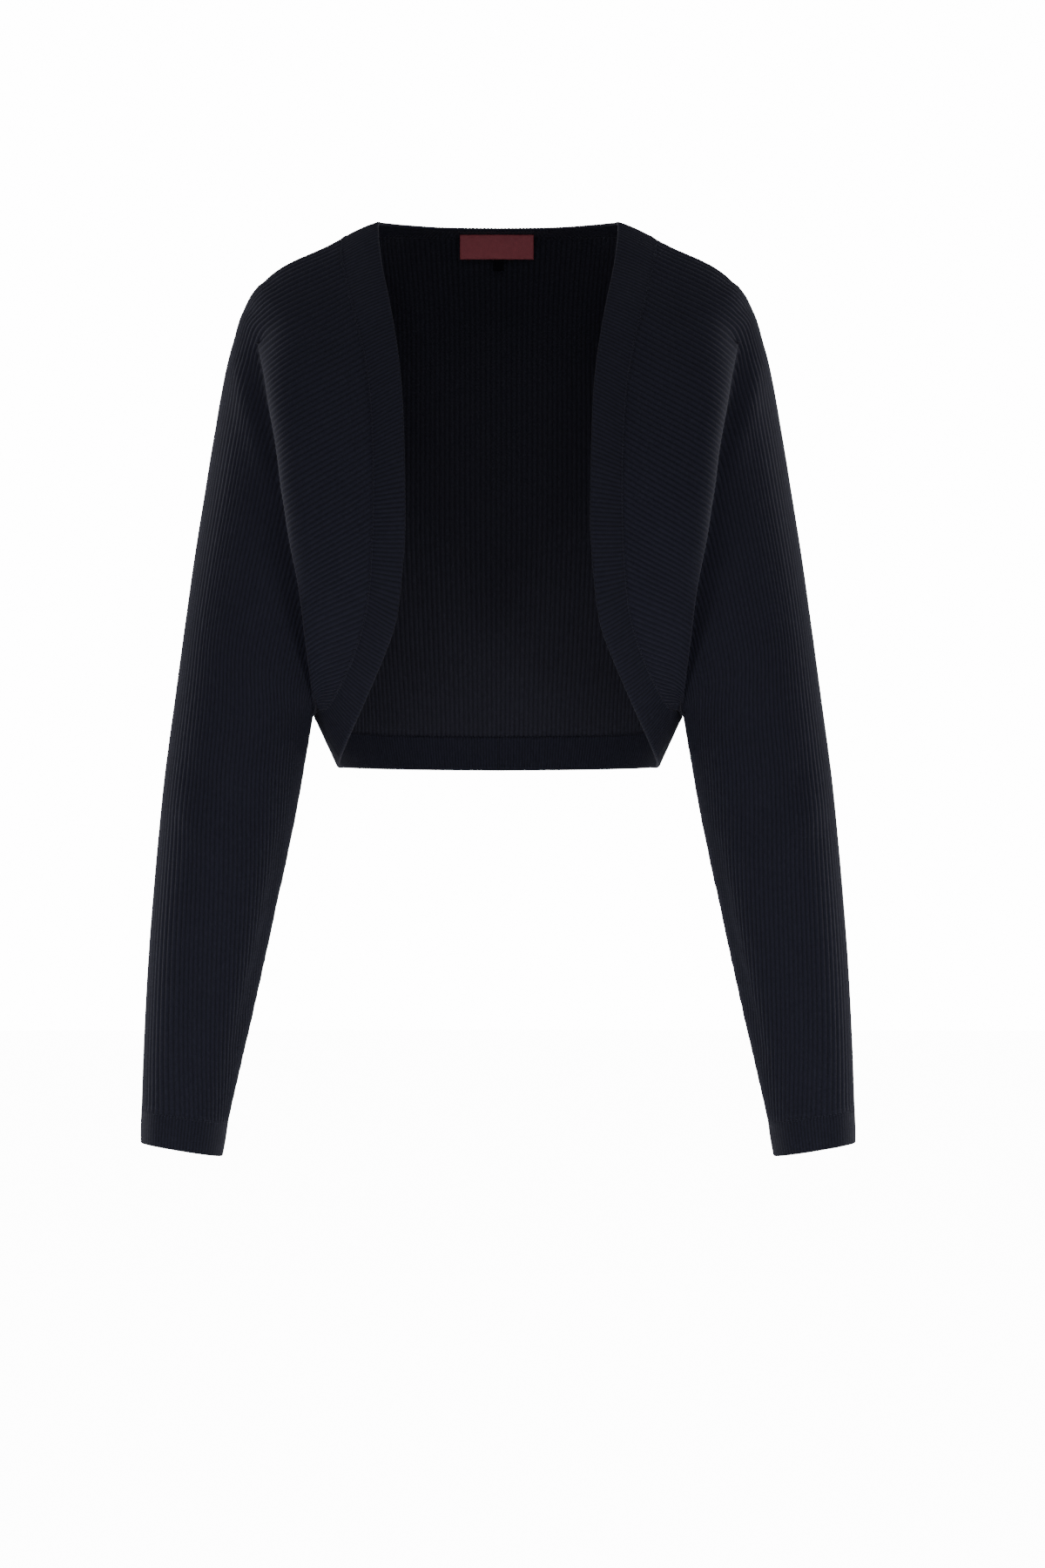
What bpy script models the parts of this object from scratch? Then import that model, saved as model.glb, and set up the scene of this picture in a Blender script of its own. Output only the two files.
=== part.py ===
"""A cropped, open-front knitted shrug with long dolman sleeves, in the hollow form it has when it is worn.

Metres, +Z up, and the front faces -Y.  The origin lies on the garment's middle plane, at the height of the
two neck points.  "Left" is the wearer's left, at +X.

Each cloth piece is a sheet of labelled points.  A label counts the lines that run along the knitted ribs:
odd lines are crests and even lines are troughs.  Rows of labelled points are zipped into triangles, label by
label, and the sheet is then made a wall: the ribs are in its outer points, and its inner side is plain.
"""

import math

import bpy
import numpy as np

COLLECTION = "knitted_shrug"

CLOTH = 0.0028          # crest of a rib to the inner side
RIB_HEIGHT = 0.0010     # crest to trough
SEAM_GAP = 0.0004       # between two pieces along their seam
INNER_STEP = 6          # every sixth line is kept on the plain inner side
CUFF_STEP = 2           # every second line is kept on the plain end of a cuff
EDGE_STEP = 0.011       # spacing of the points on the free edge of a band

UNDERARM = (0.1333, 0.0, -0.3570)       # where band, front, sleeve and back meet
CORNER_CUT = 0.0040                     # how far the corners of the bands and the back stay off that point
CORNER_LEAN = 0.4                       # 0 is towards the armhole and 1 towards the hem's seam
CORNER_REACH = 0.0100                   # length of seam beside that point along which a band draws back
NECK_LINES = 60                         # lines of the back that end at half the neck seam
SHOULDER_LINES = 4                      # lines of the front piece that lie behind the shoulder crest
RIDGE_LINE = 24                         # first line that crosses the drape fold instead of the shoulder
CHEST_LINES = 160                       # last line of the chest, at the underarm
SEAM_MARGIN = 3                         # lines left plain beside the armhole seam
FOLD_STEP = 4                           # every fourth line is kept at the bottom of the drape fold
CHEST_STATIONS = (0.0, 0.36, 0.72)      # from the band's seam (0) towards the ridge of the fold (1)
CREST_TUCK = 0.0030                     # how far the back of the fold curls in behind its ridge
SWELL_LEAN = 1.45                       # above 1 the chest is fullest nearer to the ridge than to the band
STRIP_RISE = 0.003                      # bulge of the strip behind the shoulder crest
SAME_POINT = 0.000005                   # points nearer than this are one point

LABEL_SIZE = (0.054, 0.0008, 0.0182)
LABEL_PLACE = (-0.0012, 0.0632, -0.0150)
LABEL_LEAN = math.radians(12)
TAB_SIZE = (0.008, 0.0006, 0.0120)
TAB_PLACE = (0.0, 0.0666, -0.0258)
TAB_LEAN = math.radians(8)


def table(names, *rows):
    """Turn rows of numbers into one array for each named column."""
    return dict(zip(names.split(), np.array(rows, float).T))


# The band round the body opening, one half of it, from the back neck over the shoulder, down the front, round
# the side and along the back hem.  Each row crosses the band, from its linked seam to its free edge.
BAND = table(
    "seam_x seam_y seam_z edge_x edge_y edge_z",
    (0.0000, 0.0740, -0.0056, 0.0000, 0.0500, 0.0010),
    (0.0430, 0.0695, -0.0062, 0.0370, 0.0470, 0.0012),
    (0.0850, 0.0460, -0.0080, 0.0690, 0.0310, 0.0008),
    (0.1125, 0.0040, -0.0125, 0.0885, 0.0040, -0.0010),
    (0.1105, -0.0280, -0.0396, 0.0857, -0.0320, -0.0310),
    (0.1040, -0.0520, -0.0670, 0.0802, -0.0590, -0.0600),
    (0.0968, -0.0680, -0.0930, 0.0745, -0.0780, -0.0885),
    (0.0910, -0.0800, -0.1220, 0.0697, -0.0925, -0.1200),
    (0.0886, -0.0890, -0.1580, 0.0671, -0.1025, -0.1578),
    (0.0884, -0.0920, -0.1940, 0.0664, -0.1045, -0.1945),
    (0.0892, -0.0905, -0.2250, 0.0666, -0.1030, -0.2270),
    (0.0904, -0.0865, -0.2500, 0.0683, -0.0985, -0.2530),
    (0.0945, -0.0780, -0.2870, 0.0735, -0.0895, -0.2930),
    (0.1008, -0.0685, -0.3060, 0.0800, -0.0790, -0.3125),
    (0.1080, -0.0570, -0.3255, 0.0883, -0.0670, -0.3320),
    (0.1150, -0.0440, -0.3395, 0.0970, -0.0540, -0.3510),
    (0.1225, -0.0270, -0.3500, 0.1066, -0.0360, -0.3710),
    (*UNDERARM, 0.1145, -0.0130, -0.3880),
    (0.1305, 0.0220, -0.3640, 0.1168, 0.0140, -0.3955),
    (0.1180, 0.0480, -0.3695, 0.1100, 0.0430, -0.3965),
    (0.0950, 0.0690, -0.3722, 0.0900, 0.0650, -0.3972),
    (0.0600, 0.0840, -0.3733, 0.0575, 0.0800, -0.3978),
    (0.0000, 0.0920, -0.3738, 0.0000, 0.0880, -0.3983),
)
SHOULDER_ROW = 3
UNDERARM_ROW = 17
BACK_STRIP = 0.009      # width of the front piece behind the crest, at the band
SHOULDER_SPAN = 0.0552  # length of the seam from the shoulder crest to the line that starts the drape fold

# Where a rib starts at the band's seam and where it crosses the ridge, as drops below the neck points.
RIB_RUNS = table(
    "seam_drop ridge_drop",
    (0.049, 0.086), (0.061, 0.102), (0.080, 0.121), (0.099, 0.140), (0.118, 0.159), (0.143, 0.183),
    (0.168, 0.208), (0.194, 0.232), (0.219, 0.253), (0.244, 0.273), (0.269, 0.293), (0.288, 0.309),
    (0.307, 0.3245), (0.320, 0.335), (0.334, 0.346), (0.346, 0.352), (0.357, 0.357),
)

# The ridge of the drape fold that runs from the shoulder to the underarm, and how deep the fold is behind it.
RIDGE = table(
    "drop x depth",
    (0.0860, 0.1739, 0.000), (0.1115, 0.1695, 0.007), (0.1386, 0.1657, 0.012), (0.1640, 0.1613, 0.015),
    (0.1950, 0.1570, 0.017), (0.2370, 0.1506, 0.018), (0.2650, 0.1450, 0.017), (0.3005, 0.1406, 0.014),
    (0.3380, 0.1356, 0.006), (0.3570, 0.1333, 0.000),
)

# Rings of the sleeve, from the shoulder corner to the cuff's seam.  Above the underarm each ring is cut at the
# fold in front and at the armhole seam behind.  "lines" counts the lines of half a ring.
SLEEVE = table(
    "lines outer_x outer_z inner_x inner_z axis_y front back",
    (24, 0.1865, -0.0700, 0.0865, -0.0900, 0.0020, 0.050, 0.048),
    (34, 0.1965, -0.1060, 0.0925, -0.1280, 0.0030, 0.056, 0.053),
    (46, 0.2050, -0.1500, 0.0990, -0.1720, 0.0040, 0.060, 0.056),
    (58, 0.2125, -0.1970, 0.1080, -0.2190, 0.0040, 0.060, 0.056),
    (68, 0.2200, -0.2440, 0.1165, -0.2620, 0.0030, 0.057, 0.054),
    (80, 0.2275, -0.2980, 0.1255, -0.3100, 0.0010, 0.053, 0.051),
    (92, 0.2350, -0.3520, UNDERARM[0], UNDERARM[2], UNDERARM[1], 0.049, 0.049),
    (84, 0.2412, -0.4000, 0.1405, -0.4010, -0.0030, 0.047, 0.048),
    (74, 0.2478, -0.4700, 0.1547, -0.4730, -0.0090, 0.043, 0.044),
    (66, 0.2527, -0.5350, 0.1692, -0.5400, -0.0140, 0.039, 0.040),
    (58, 0.2557, -0.5950, 0.1832, -0.6020, -0.0180, 0.034, 0.035),
    (50, 0.2572, -0.6425, 0.1946, -0.6520, -0.0210, 0.029, 0.030),
)
UNDERARM_RING = 6
CUFF_END = table(
    "outer_x outer_z inner_x inner_z axis_y front back",
    (0.2577, -0.6665, 0.1985, -0.6760, -0.0225, 0.0275, 0.0285),
)

# The seam between the sleeve and the back: along the shoulder, then down the back to the underarm.
SHOULDER_SEAM = table(
    "line x y z",
    (8, 0.1360, 0.0160, -0.0275), (14, 0.1600, 0.0220, -0.0440),
)
BACK_ARMHOLE = table(
    "line x z",
    (24, 0.1730, -0.0660), (34, 0.1540, -0.1120), (46, 0.1465, -0.1650), (58, 0.1430, -0.2130),
    (68, 0.1405, -0.2580), (80, 0.1372, -0.3080),
)
ARMHOLE_LABELS = (4, 6, 8, 11, 14, 19, 24, 29, 34, 40, 46, 52, 58, 63, 68, 74, 80, 86, 92)

# How far a line stands out from the straight way between its ends, at its fullest place.  For the way up, that
# place lies nearer to the ridge the higher "lean" is.
CHEST_SWELL = table(
    "line out forward up lean",
    (0, 0.0030, 0.0000, 0.0118, 1.45), (12, 0.0030, 0.0060, 0.0046, 1.30),
    (24, 0.0020, 0.0105, 0.0024, 1.80), (45, 0.0010, 0.0110, 0.0034, 2.20),
    (80, 0.0000, 0.0090, 0.0024, 2.40), (120, 0.0000, 0.0045, 0.0026, 2.00),
    (145, 0.0000, 0.0016, 0.0026, 1.80), (160, 0.0000, 0.0000, 0.0000, 1.80),
)

# Rows of the back panel: the place on the armhole seam where each ends, and the lines in half of it.
BACK_ROWS = table(
    "armhole lines",
    (24, 84), (29, 84), (34, 84), (46, 84), (63, 86), (80, 94), (92, 100),
)
BACK_DEPTH = table(
    "drop y",
    (0.0056, 0.0740), (0.0250, 0.0855), (0.0500, 0.0930), (0.0900, 0.0975), (0.1500, 0.0985),
    (0.2300, 0.0970), (0.3100, 0.0940), (0.3738, 0.0920),
)
SHOULDER_FADE = 9       # power with which the shoulder's slope fades down the back
SEAM_FADE = 26          # power with which the shape of the neck and shoulder seams fades below them
SHOULDER_SLOPE = 0.030  # how far the shoulder's slope lies forward of the back's section
SLOPE_LEAN = 1.47       # puts the slope's fullest place below the neck's corner


def smooth(knots, values, at):
    """Read a smooth curve through the values at the knots, with cubic pieces."""
    knots = np.asarray(knots, float)
    values = np.asarray(values, float)
    slopes = np.gradient(values, knots, axis=0)
    at = float(np.clip(at, knots[0], knots[-1]))
    k = int(np.clip(np.searchsorted(knots, at, side="right") - 1, 0, len(knots) - 2))
    span = knots[k + 1] - knots[k]
    t = (at - knots[k]) / span
    rise = t * t * (3 - 2 * t)
    bend = span * t * (1 - t)
    return values[k] + (values[k + 1] - values[k]) * rise + bend * (slopes[k] * (1 - t) - slopes[k + 1] * t)


def mix(a, b, t):
    """The point between a and b."""
    return np.asarray(a, float) * (1 - t) + np.asarray(b, float) * t


SEAM = np.column_stack([BAND["seam_x"], BAND["seam_y"], BAND["seam_z"]])
EDGE = np.column_stack([BAND["edge_x"], BAND["edge_y"], BAND["edge_z"]])
WAY = np.concatenate([[0.0], np.cumsum(np.linalg.norm(np.diff(SEAM, axis=0), axis=1))])
SHOULDER_WAY = WAY[SHOULDER_ROW]
UNDERARM_WAY = WAY[UNDERARM_ROW]
STRIP_WAY = SHOULDER_WAY - BACK_STRIP


def seam(way):
    """A point of the band's seam, at a distance along it from the middle of the back neck."""
    return smooth(WAY, SEAM, way)


def edge(way):
    """The point of the band's free edge across from seam(way)."""
    return smooth(WAY, EDGE, way)


def front_way(line):
    """Where a line of the front piece starts along the band's seam."""
    lines = [-SHOULDER_LINES, 0, RIDGE_LINE, CHEST_LINES]
    ways = [STRIP_WAY, SHOULDER_WAY, SHOULDER_WAY + SHOULDER_SPAN, UNDERARM_WAY]
    return float(np.interp(line, lines, ways))


def ridge_drop(line):
    """How far below the neck points a chest line crosses the ridge."""
    return float(np.interp(-seam(front_way(line))[2], RIB_RUNS["seam_drop"], RIB_RUNS["ridge_drop"]))


def chest_line(sleeve_line):
    """The chest's number for a line of the sleeve's front: every second line goes on past the fold."""
    return RIDGE_LINE + 2 * (sleeve_line - RIDGE_LINE)


def tuck(line):
    """How far the bottom of the fold lies inwards of the ridge: nothing at its two ends."""
    return CREST_TUCK * math.sin(math.pi * (line - RIDGE_LINE) / (CHEST_LINES - RIDGE_LINE))


def fold_bottom_xz(line):
    """Place, seen from the front, of the bottom of the fold on a chest line."""
    drop = ridge_drop(line)
    return smooth(RIDGE["drop"], RIDGE["x"], drop) - tuck(line), -drop


def ring(section, angle, end_x, end_z):
    """A point of a sleeve ring: angle 0 is its outer side, a positive angle goes round the front."""
    middle_x = (section["outer_x"] + section["inner_x"]) / 2
    half = section["outer_x"] - middle_x
    depth = section["front"] if angle >= 0 else section["back"]
    x = middle_x + half * math.cos(angle)
    share = (section["outer_x"] - x) / (section["outer_x"] - end_x)
    return np.array((
        x,
        section["axis_y"] - depth * math.sin(angle),
        section["outer_z"] + (end_z - section["outer_z"]) * share,
    ))


def end_angle(section, end_x):
    """The angle at which a ring reaches a given place between its sides."""
    middle_x = (section["outer_x"] + section["inner_x"]) / 2
    half = section["outer_x"] - middle_x
    return math.acos(float(np.clip((end_x - middle_x) / half, -1, 1)))


def sleeve_section(number):
    """One row of the sleeve's table, with where its front and back ends are."""
    section = {name: float(column[number]) for name, column in SLEEVE.items()}
    if number < UNDERARM_RING:
        section["front_end"] = fold_bottom_xz(chest_line(section["lines"]))
        section["back_end"] = (float(BACK_ARMHOLE["x"][number]), float(BACK_ARMHOLE["z"][number]))
    else:
        section["front_end"] = section["back_end"] = (section["inner_x"], section["inner_z"])
    section["front_angle"] = end_angle(section, section["front_end"][0])
    section["back_angle"] = end_angle(section, section["back_end"][0])
    return section


SECTIONS = [sleeve_section(number) for number in range(len(SLEEVE["lines"]))]


def sleeve_point(section, line):
    """A point of a sleeve ring on a line: positive lines go round the front, negative ones round the back."""
    share = abs(line) / section["lines"]
    if line >= 0:
        return ring(section, section["front_angle"] * share, *section["front_end"])
    return ring(section, -section["back_angle"] * share, *section["back_end"])


FOLD_KNOTS = [chest_line(section["lines"]) for section in SECTIONS[:UNDERARM_RING + 1]]
FOLD_Y = [sleeve_point(section, section["lines"])[1] for section in SECTIONS[:UNDERARM_RING + 1]]


def fold_bottom(line):
    """The bottom of the drape fold, where the chest goes over into the sleeve."""
    x, z = fold_bottom_xz(line)
    return np.array((x, smooth(FOLD_KNOTS, FOLD_Y, line), z))


def ridge(line):
    """The ridge of the drape fold, in front of its bottom."""
    drop = ridge_drop(line)
    depth = smooth(RIDGE["drop"], RIDGE["depth"], drop)
    return np.array((smooth(RIDGE["drop"], RIDGE["x"], drop), fold_bottom(line)[1] - depth, -drop))


def fold_side(line):
    """A point halfway down the back of the fold."""
    return mix(ridge(line), fold_bottom(line), 0.5) - np.array((tuck(line), 0, 0))


ARMHOLE_KNOTS = [SHOULDER_LINES, *SHOULDER_SEAM["line"], *SLEEVE["lines"][:UNDERARM_RING + 1]]
ARMHOLE_POINTS = [
    seam(STRIP_WAY),
    *np.column_stack([SHOULDER_SEAM["x"], SHOULDER_SEAM["y"], SHOULDER_SEAM["z"]]),
    *[sleeve_point(section, -section["lines"]) for section in SECTIONS[:UNDERARM_RING + 1]],
]


def armhole(line):
    """A point of the seam between sleeve and back, from the band (4) to the underarm (92)."""
    return smooth(ARMHOLE_KNOTS, ARMHOLE_POINTS, line)


def chest_point(line, station):
    """A point of the chest on a line, from the band's seam (station 0) to the ridge or the sleeve (1)."""
    start = seam(front_way(line))
    end = sleeve_point(SECTIONS[0], line) if line <= RIDGE_LINE else ridge(line)
    swell = {name: smooth(CHEST_SWELL["line"], CHEST_SWELL[name], line) for name in CHEST_SWELL}
    full = math.sin(math.pi * station ** SWELL_LEAN)
    rise = math.sin(math.pi * station ** swell["lean"])
    bulge = np.array((swell["out"] * full, -swell["forward"] * full, swell["up"] * rise))
    return mix(start, end, station) + bulge


def strip_point(share, station, end_line):
    """A point of the narrow strip behind the shoulder crest."""
    bulge = np.array((0, 0, STRIP_RISE * share * (1 - share)))
    return mix(chest_point(0, station), armhole(end_line), share) + bulge


def band_seam(way):
    """A point of the seam on a band's own edge, which draws back from the underarm."""
    across = edge(way) - seam(way)
    share = max(0.0, 1 - abs(way - UNDERARM_WAY) / CORNER_REACH)
    return seam(way) + across / np.linalg.norm(across) * CORNER_CUT * share


def cut_corner(towards):
    """A point a little way off the underarm."""
    away = np.asarray(towards) - np.asarray(UNDERARM)
    return np.asarray(UNDERARM) + away / np.linalg.norm(away) * CORNER_CUT


BAND_SIDE = SEAM[UNDERARM_ROW + 2]


def side_way(share):
    """Distance along the seam of the back's lower edge, from the middle to the underarm."""
    return WAY[-1] + (UNDERARM_WAY - WAY[-1]) * share


SHOULDER_LABELS = [label for label in ARMHOLE_LABELS if SHOULDER_LINES < label <= RIDGE_LINE]
SHOULDER_PLACES = np.linspace(NECK_LINES, BACK_ROWS["lines"][0], len(SHOULDER_LABELS) + 1)[1:]
NECK_PLACES = np.linspace(0, NECK_LINES, len(SHOULDER_LABELS) + 1)
TOP_KNOTS = [*NECK_PLACES, *SHOULDER_PLACES]
TOP_POINTS = [
    *[seam(STRIP_WAY * place / NECK_LINES) for place in NECK_PLACES],
    *[armhole(label) for label in SHOULDER_LABELS],
]


def back_point(share, height, end_line):
    """A point of the back: share 0 is its middle and 1 its armhole; height goes from the hem seam to the top."""
    side = armhole(end_line)
    low = seam(side_way(share))
    high = smooth(TOP_KNOTS, TOP_POINTS, share * TOP_KNOTS[-1])
    across = mix(low[0] / UNDERARM[0], high[0] / TOP_POINTS[-1][0], height)
    z = mix(low[2], high[2], height)
    middle_y = smooth(BACK_DEPTH["drop"], BACK_DEPTH["y"], -mix(SEAM[-1][2], SEAM[0][2], height))
    low_shape = (low[1] - UNDERARM[1]) / (SEAM[-1][1] - UNDERARM[1])
    shape = mix(low_shape, 1 - across ** 2, math.sqrt(height))
    y = side[1] + (middle_y - side[1]) * shape
    top_y = TOP_POINTS[-1][1] + (SEAM[0][1] - TOP_POINTS[-1][1]) * (1 - across ** 2)
    slope = -SHOULDER_SLOPE * math.sin(math.pi * across ** SLOPE_LEAN) ** 2
    y += slope * (height ** SHOULDER_FADE - height ** SEAM_FADE) + (high[1] - top_y) * height ** SEAM_FADE
    return np.array((float(across * side[0]), float(y), float(z)))


class Sheet:
    """A cloth piece: points on its outer crests, and the triangles of its outer and its inner side."""

    def __init__(self, name, side=1):
        self.name = name
        self.side = side
        self.points = []
        self.depths = []
        self.places = {}
        self.outer = []
        self.inner = []

    def point(self, place, depth=0.0):
        """Add a point, or find the one that is already there, and give its number."""
        place = np.array((place[0] * self.side, place[1], place[2]))
        key = place_key(place)
        if key not in self.places:
            self.places[key] = len(self.points)
            self.points.append(place)
            self.depths.append(depth)
        return self.places[key]

    def row(self, labels, place_of, ribbed=True):
        """A row of labelled points.  An even label is a trough where the row is ribbed."""
        return [
            (label, self.point(place_of(label), RIB_HEIGHT if ribbed and label % 2 == 0 else 0.0))
            for label in labels
        ]

    def bridge(self, first, second, start=(), end=(), keep=()):
        """Fill the strip between two rows, on both sides of the cloth.

        start and end are the seam points between the rows' ends, in order from the first row to the second.
        """
        self.outer += zip_rows(*with_ends(first, second, start, end))
        self.inner += zip_rows(*with_ends(thin(first, keep), thin(second, keep), start, end))


def place_key(place):
    """A key that two points share when they are the same point."""
    return tuple(int(round(value / SAME_POINT)) for value in place)


def thin(row, keep):
    """The part of a row that the plain inner side uses: every sixth line, the ends, and the lines to keep."""
    last = len(row) - 1
    return [
        item for number, item in enumerate(row)
        if number in (0, last) or item[0] % INNER_STEP == 0 or item[0] in keep
    ]


def with_ends(first, second, start, end):
    """Give the shorter row the seam points between the two rows' ends, at both ends."""
    first, second = with_end(first, second, end)
    turned = [(-label, number) for label, number in reversed(first)]
    other = [(-label, number) for label, number in reversed(second)]
    turned, other = with_end(turned, other, start)
    return (
        [(-label, number) for label, number in reversed(turned)],
        [(-label, number) for label, number in reversed(other)],
    )


def with_end(first, second, between):
    """Lengthen the row that ends first by the points between the ends and the other row's last point."""
    if not between:
        return first, second
    if first[-1][0] <= second[-1][0]:
        return lengthen(first, [*between, second[-1][1]], second[-1][0]), second
    return first, lengthen(second, [*reversed(between), first[-1][1]], first[-1][0])


def lengthen(row, numbers, last_label):
    """Add points to a row's end, with labels spread up to the last label."""
    label = row[-1][0]
    step = max((last_label - label) / len(numbers), 0.001)
    return [*row, *[(label + step * (place + 1), number) for place, number in enumerate(numbers)]]


def zip_rows(first, second):
    """Fill the strip between two rows with triangles, always going on along the row that is behind."""
    triangles = []
    i = j = 0
    while i < len(first) - 1 or j < len(second) - 1:
        along_first = j == len(second) - 1
        if i < len(first) - 1 and not along_first:
            along_first = first[i + 1][0] <= second[j + 1][0]
        if along_first:
            corner = (first[i][1], first[i + 1][1], second[j][1])
            i += 1
        else:
            corner = (first[i][1], second[j + 1][1], second[j][1])
            j += 1
        if len(set(corner)) == 3:
            triangles.append(corner)
    return triangles


def free_edges(triangles):
    """The edges that only one triangle uses, as a way from each start to its end."""
    edges = {(corner[k], corner[(k + 1) % 3]) for corner in triangles for k in range(3)}
    return {start: end for start, end in edges if (end, start) not in edges}


def rim(outer, inner, places):
    """Triangles that join the outer side's edge to the inner side's coarser one: (side, number) corners.

    The places decide which way a strip is cut, so that two pieces that meet at a seam are cut alike.
    """
    way = free_edges(outer)
    triangles = []
    for start, end in free_edges(inner).items():
        chain = [start]
        while chain[-1] != end:
            chain.append(way[chain[-1]])
        half = len(chain) // 2 if places[start] < places[end] else (len(chain) - 1) // 2
        for k in range(len(chain) - 1):
            corner = start if k < half else end
            triangles.append((("outer", chain[k + 1]), ("outer", chain[k]), ("inner", corner)))
        triangles.append((("outer", chain[half]), ("inner", start), ("inner", end)))
    return triangles


def add_normals(sheet, normals):
    """Add each outer triangle's direction to its points.  Pieces that meet at a seam share the sum."""
    for a, b, c in sheet.outer:
        pa, pb, pc = sheet.points[a], sheet.points[b], sheet.points[c]
        direction = np.cross(pb - pa, pc - pa) * sheet.side
        for number in (a, b, c):
            key = place_key(sheet.points[number])
            normals[key] = normals.get(key, np.zeros(3)) + direction


def seam_pulls(sheet):
    """How far each point on the piece's edge moves into the piece, to leave half of the seam's gap."""
    edges = free_edges(sheet.outer)
    pulls = {}
    for corner in sheet.outer:
        for k in range(3):
            start, end, third = corner[k], corner[(k + 1) % 3], corner[(k + 2) % 3]
            if edges.get(start) != end:
                continue
            along = sheet.points[end] - sheet.points[start]
            along /= np.linalg.norm(along)
            inward = sheet.points[third] - sheet.points[start]
            inward = inward - along * np.dot(inward, along)
            inward /= np.linalg.norm(inward)
            for number in (start, end):
                pulls[number] = pulls.get(number, np.zeros(3)) + inward
    return {number: pull / np.linalg.norm(pull) * SEAM_GAP / 2 for number, pull in pulls.items()}


def add_object(name, vertices, faces, material):
    """Put a finished mesh into the scene as a named object."""
    mesh = bpy.data.meshes.new(name)
    mesh.from_pydata([tuple(map(float, vertex)) for vertex in vertices], [], faces)
    mesh.update()
    mesh.materials.append(material)
    thing = bpy.data.objects.new(name, mesh)
    bpy.data.collections[COLLECTION].objects.link(thing)
    return thing


def add_wall(sheet, normals, material):
    """Make a sheet a closed wall, with its ribs outside, and put it into the scene."""
    pulls = seam_pulls(sheet)
    numbers = {}
    vertices = []

    def vertex(face, number):
        if (face, number) not in numbers:
            place = sheet.points[number]
            normal = normals[place_key(place)]
            normal = normal / np.linalg.norm(normal)
            depth = sheet.depths[number] if face == "outer" else CLOTH
            numbers[face, number] = len(vertices)
            vertices.append(place - normal * depth + pulls.get(number, 0))
        return numbers[face, number]

    faces = [tuple(vertex("outer", number) for number in corner) for corner in sheet.outer]
    faces += [tuple(vertex("inner", number) for number in reversed(corner)) for corner in sheet.inner]
    places = [place_key(place) for place in sheet.points]
    faces += [tuple(vertex(*corner) for corner in corners) for corners in rim(sheet.outer, sheet.inner, places)]
    if sheet.side < 0:
        faces = [tuple(reversed(face)) for face in faces]
    return add_object(sheet.name, vertices, faces, material)


def between(labels, low, high):
    """The labels that lie strictly between two others."""
    return [label for label in labels if low < label < high]


def front_sleeve(name, side):
    """Chest, drape fold, shoulder and sleeve: one piece, closed into a tube below the underarm."""
    sheet = Sheet(name, side)

    def armhole_chain(low, high):
        return [sheet.point(armhole(label)) for label in between(ARMHOLE_LABELS, low, high)]

    rows = []
    strip_ends = [SHOULDER_LINES, *[int(line) for line in SHOULDER_SEAM["line"]]]
    for station, end_line in zip(CHEST_STATIONS, strip_ends):
        def place(line):
            if line >= 0:
                return chest_point(line, station)
            if station == 0:
                return seam(front_way(line))
            return strip_point(-line / end_line, station, end_line)
        rows.append(sheet.row(range(-end_line, CHEST_LINES + 1), place))
    ribs = range(SEAM_MARGIN - RIDGE_LINE, RIDGE_LINE + 1)
    top = sheet.row([-RIDGE_LINE, *ribs], lambda line: sleeve_point(SECTIONS[0], line))
    crest = sheet.row(range(RIDGE_LINE, CHEST_LINES + 1), ridge)
    rows.append([*top, *crest[1:]])
    keep = (RIDGE_LINE,)
    for first, second in zip(rows, rows[1:]):
        chain = armhole_chain(-first[0][0], -second[0][0])
        sheet.bridge(first, second, start=chain, keep=keep)

    flank = sheet.row(range(RIDGE_LINE, CHEST_LINES + 1, 2), fold_side)
    bottom = sheet.row(range(RIDGE_LINE, CHEST_LINES + 1, FOLD_STEP), fold_bottom)
    sheet.bridge(crest, flank, keep=keep)
    sheet.outer += zip_rows(flank, bottom)
    sheet.inner += zip_rows(thin(flank, keep), bottom)

    def fold_chain(low, high):
        low, high = chest_line(low), chest_line(high)
        return [number for label, number in bottom if low < label < high]

    above = top
    for section in SECTIONS[1:]:
        lines = int(section["lines"])
        last = above[-1][0]
        below_underarm = last == SLEEVE["lines"][UNDERARM_RING] or last > lines
        margin = 1 if below_underarm else SEAM_MARGIN
        below = sheet.row([-lines, *range(margin - lines, lines + 1)], lambda line: sleeve_point(section, line))
        start = () if below_underarm else armhole_chain(last, lines)
        end = () if below_underarm else fold_chain(last, lines)
        sheet.bridge(above, below, start, end)
        above = below
    return sheet


def back_panel():
    """The back: its ribs run down from the neck and shoulder seams, and more of them start at the armholes."""
    sheet = Sheet("back")
    top_z = armhole(RIDGE_LINE)[2]
    corner = cut_corner(mix(armhole(SLEEVE["lines"][UNDERARM_RING - 1]), BAND_SIDE, CORNER_LEAN))
    rows = [(RIDGE_LINE, top_row(sheet))]
    for end_line, lines in zip(BACK_ROWS["armhole"][1:], BACK_ROWS["lines"][1:]):
        end_line, lines = int(end_line), int(lines)
        height = (armhole(end_line)[2] - UNDERARM[2]) / (top_z - UNDERARM[2])

        def place(line):
            if abs(line) < lines:
                return mirrored(back_point(abs(line) / lines, height, end_line), line)
            return mirrored(armhole(end_line) if height > 0 else corner, line)
        ribs = range(SEAM_MARGIN - lines, lines - SEAM_MARGIN + 1)
        rows.append((end_line, sheet.row([-lines, *ribs, lines], place)))
    for (high, first), (low, second) in zip(rows, rows[1:]):
        chain = between(ARMHOLE_LABELS, high, low)
        right = [sheet.point(mirrored(armhole(label), -1)) for label in chain]
        left = [sheet.point(armhole(label)) for label in chain]
        sheet.bridge(first, second, right, left, keep=(-NECK_LINES, NECK_LINES))
    return sheet


def mirrored(point, line):
    """The same point on the wearer's right when the line's number is negative."""
    return np.array((-point[0] if line < 0 else point[0], point[1], point[2]))


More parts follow.
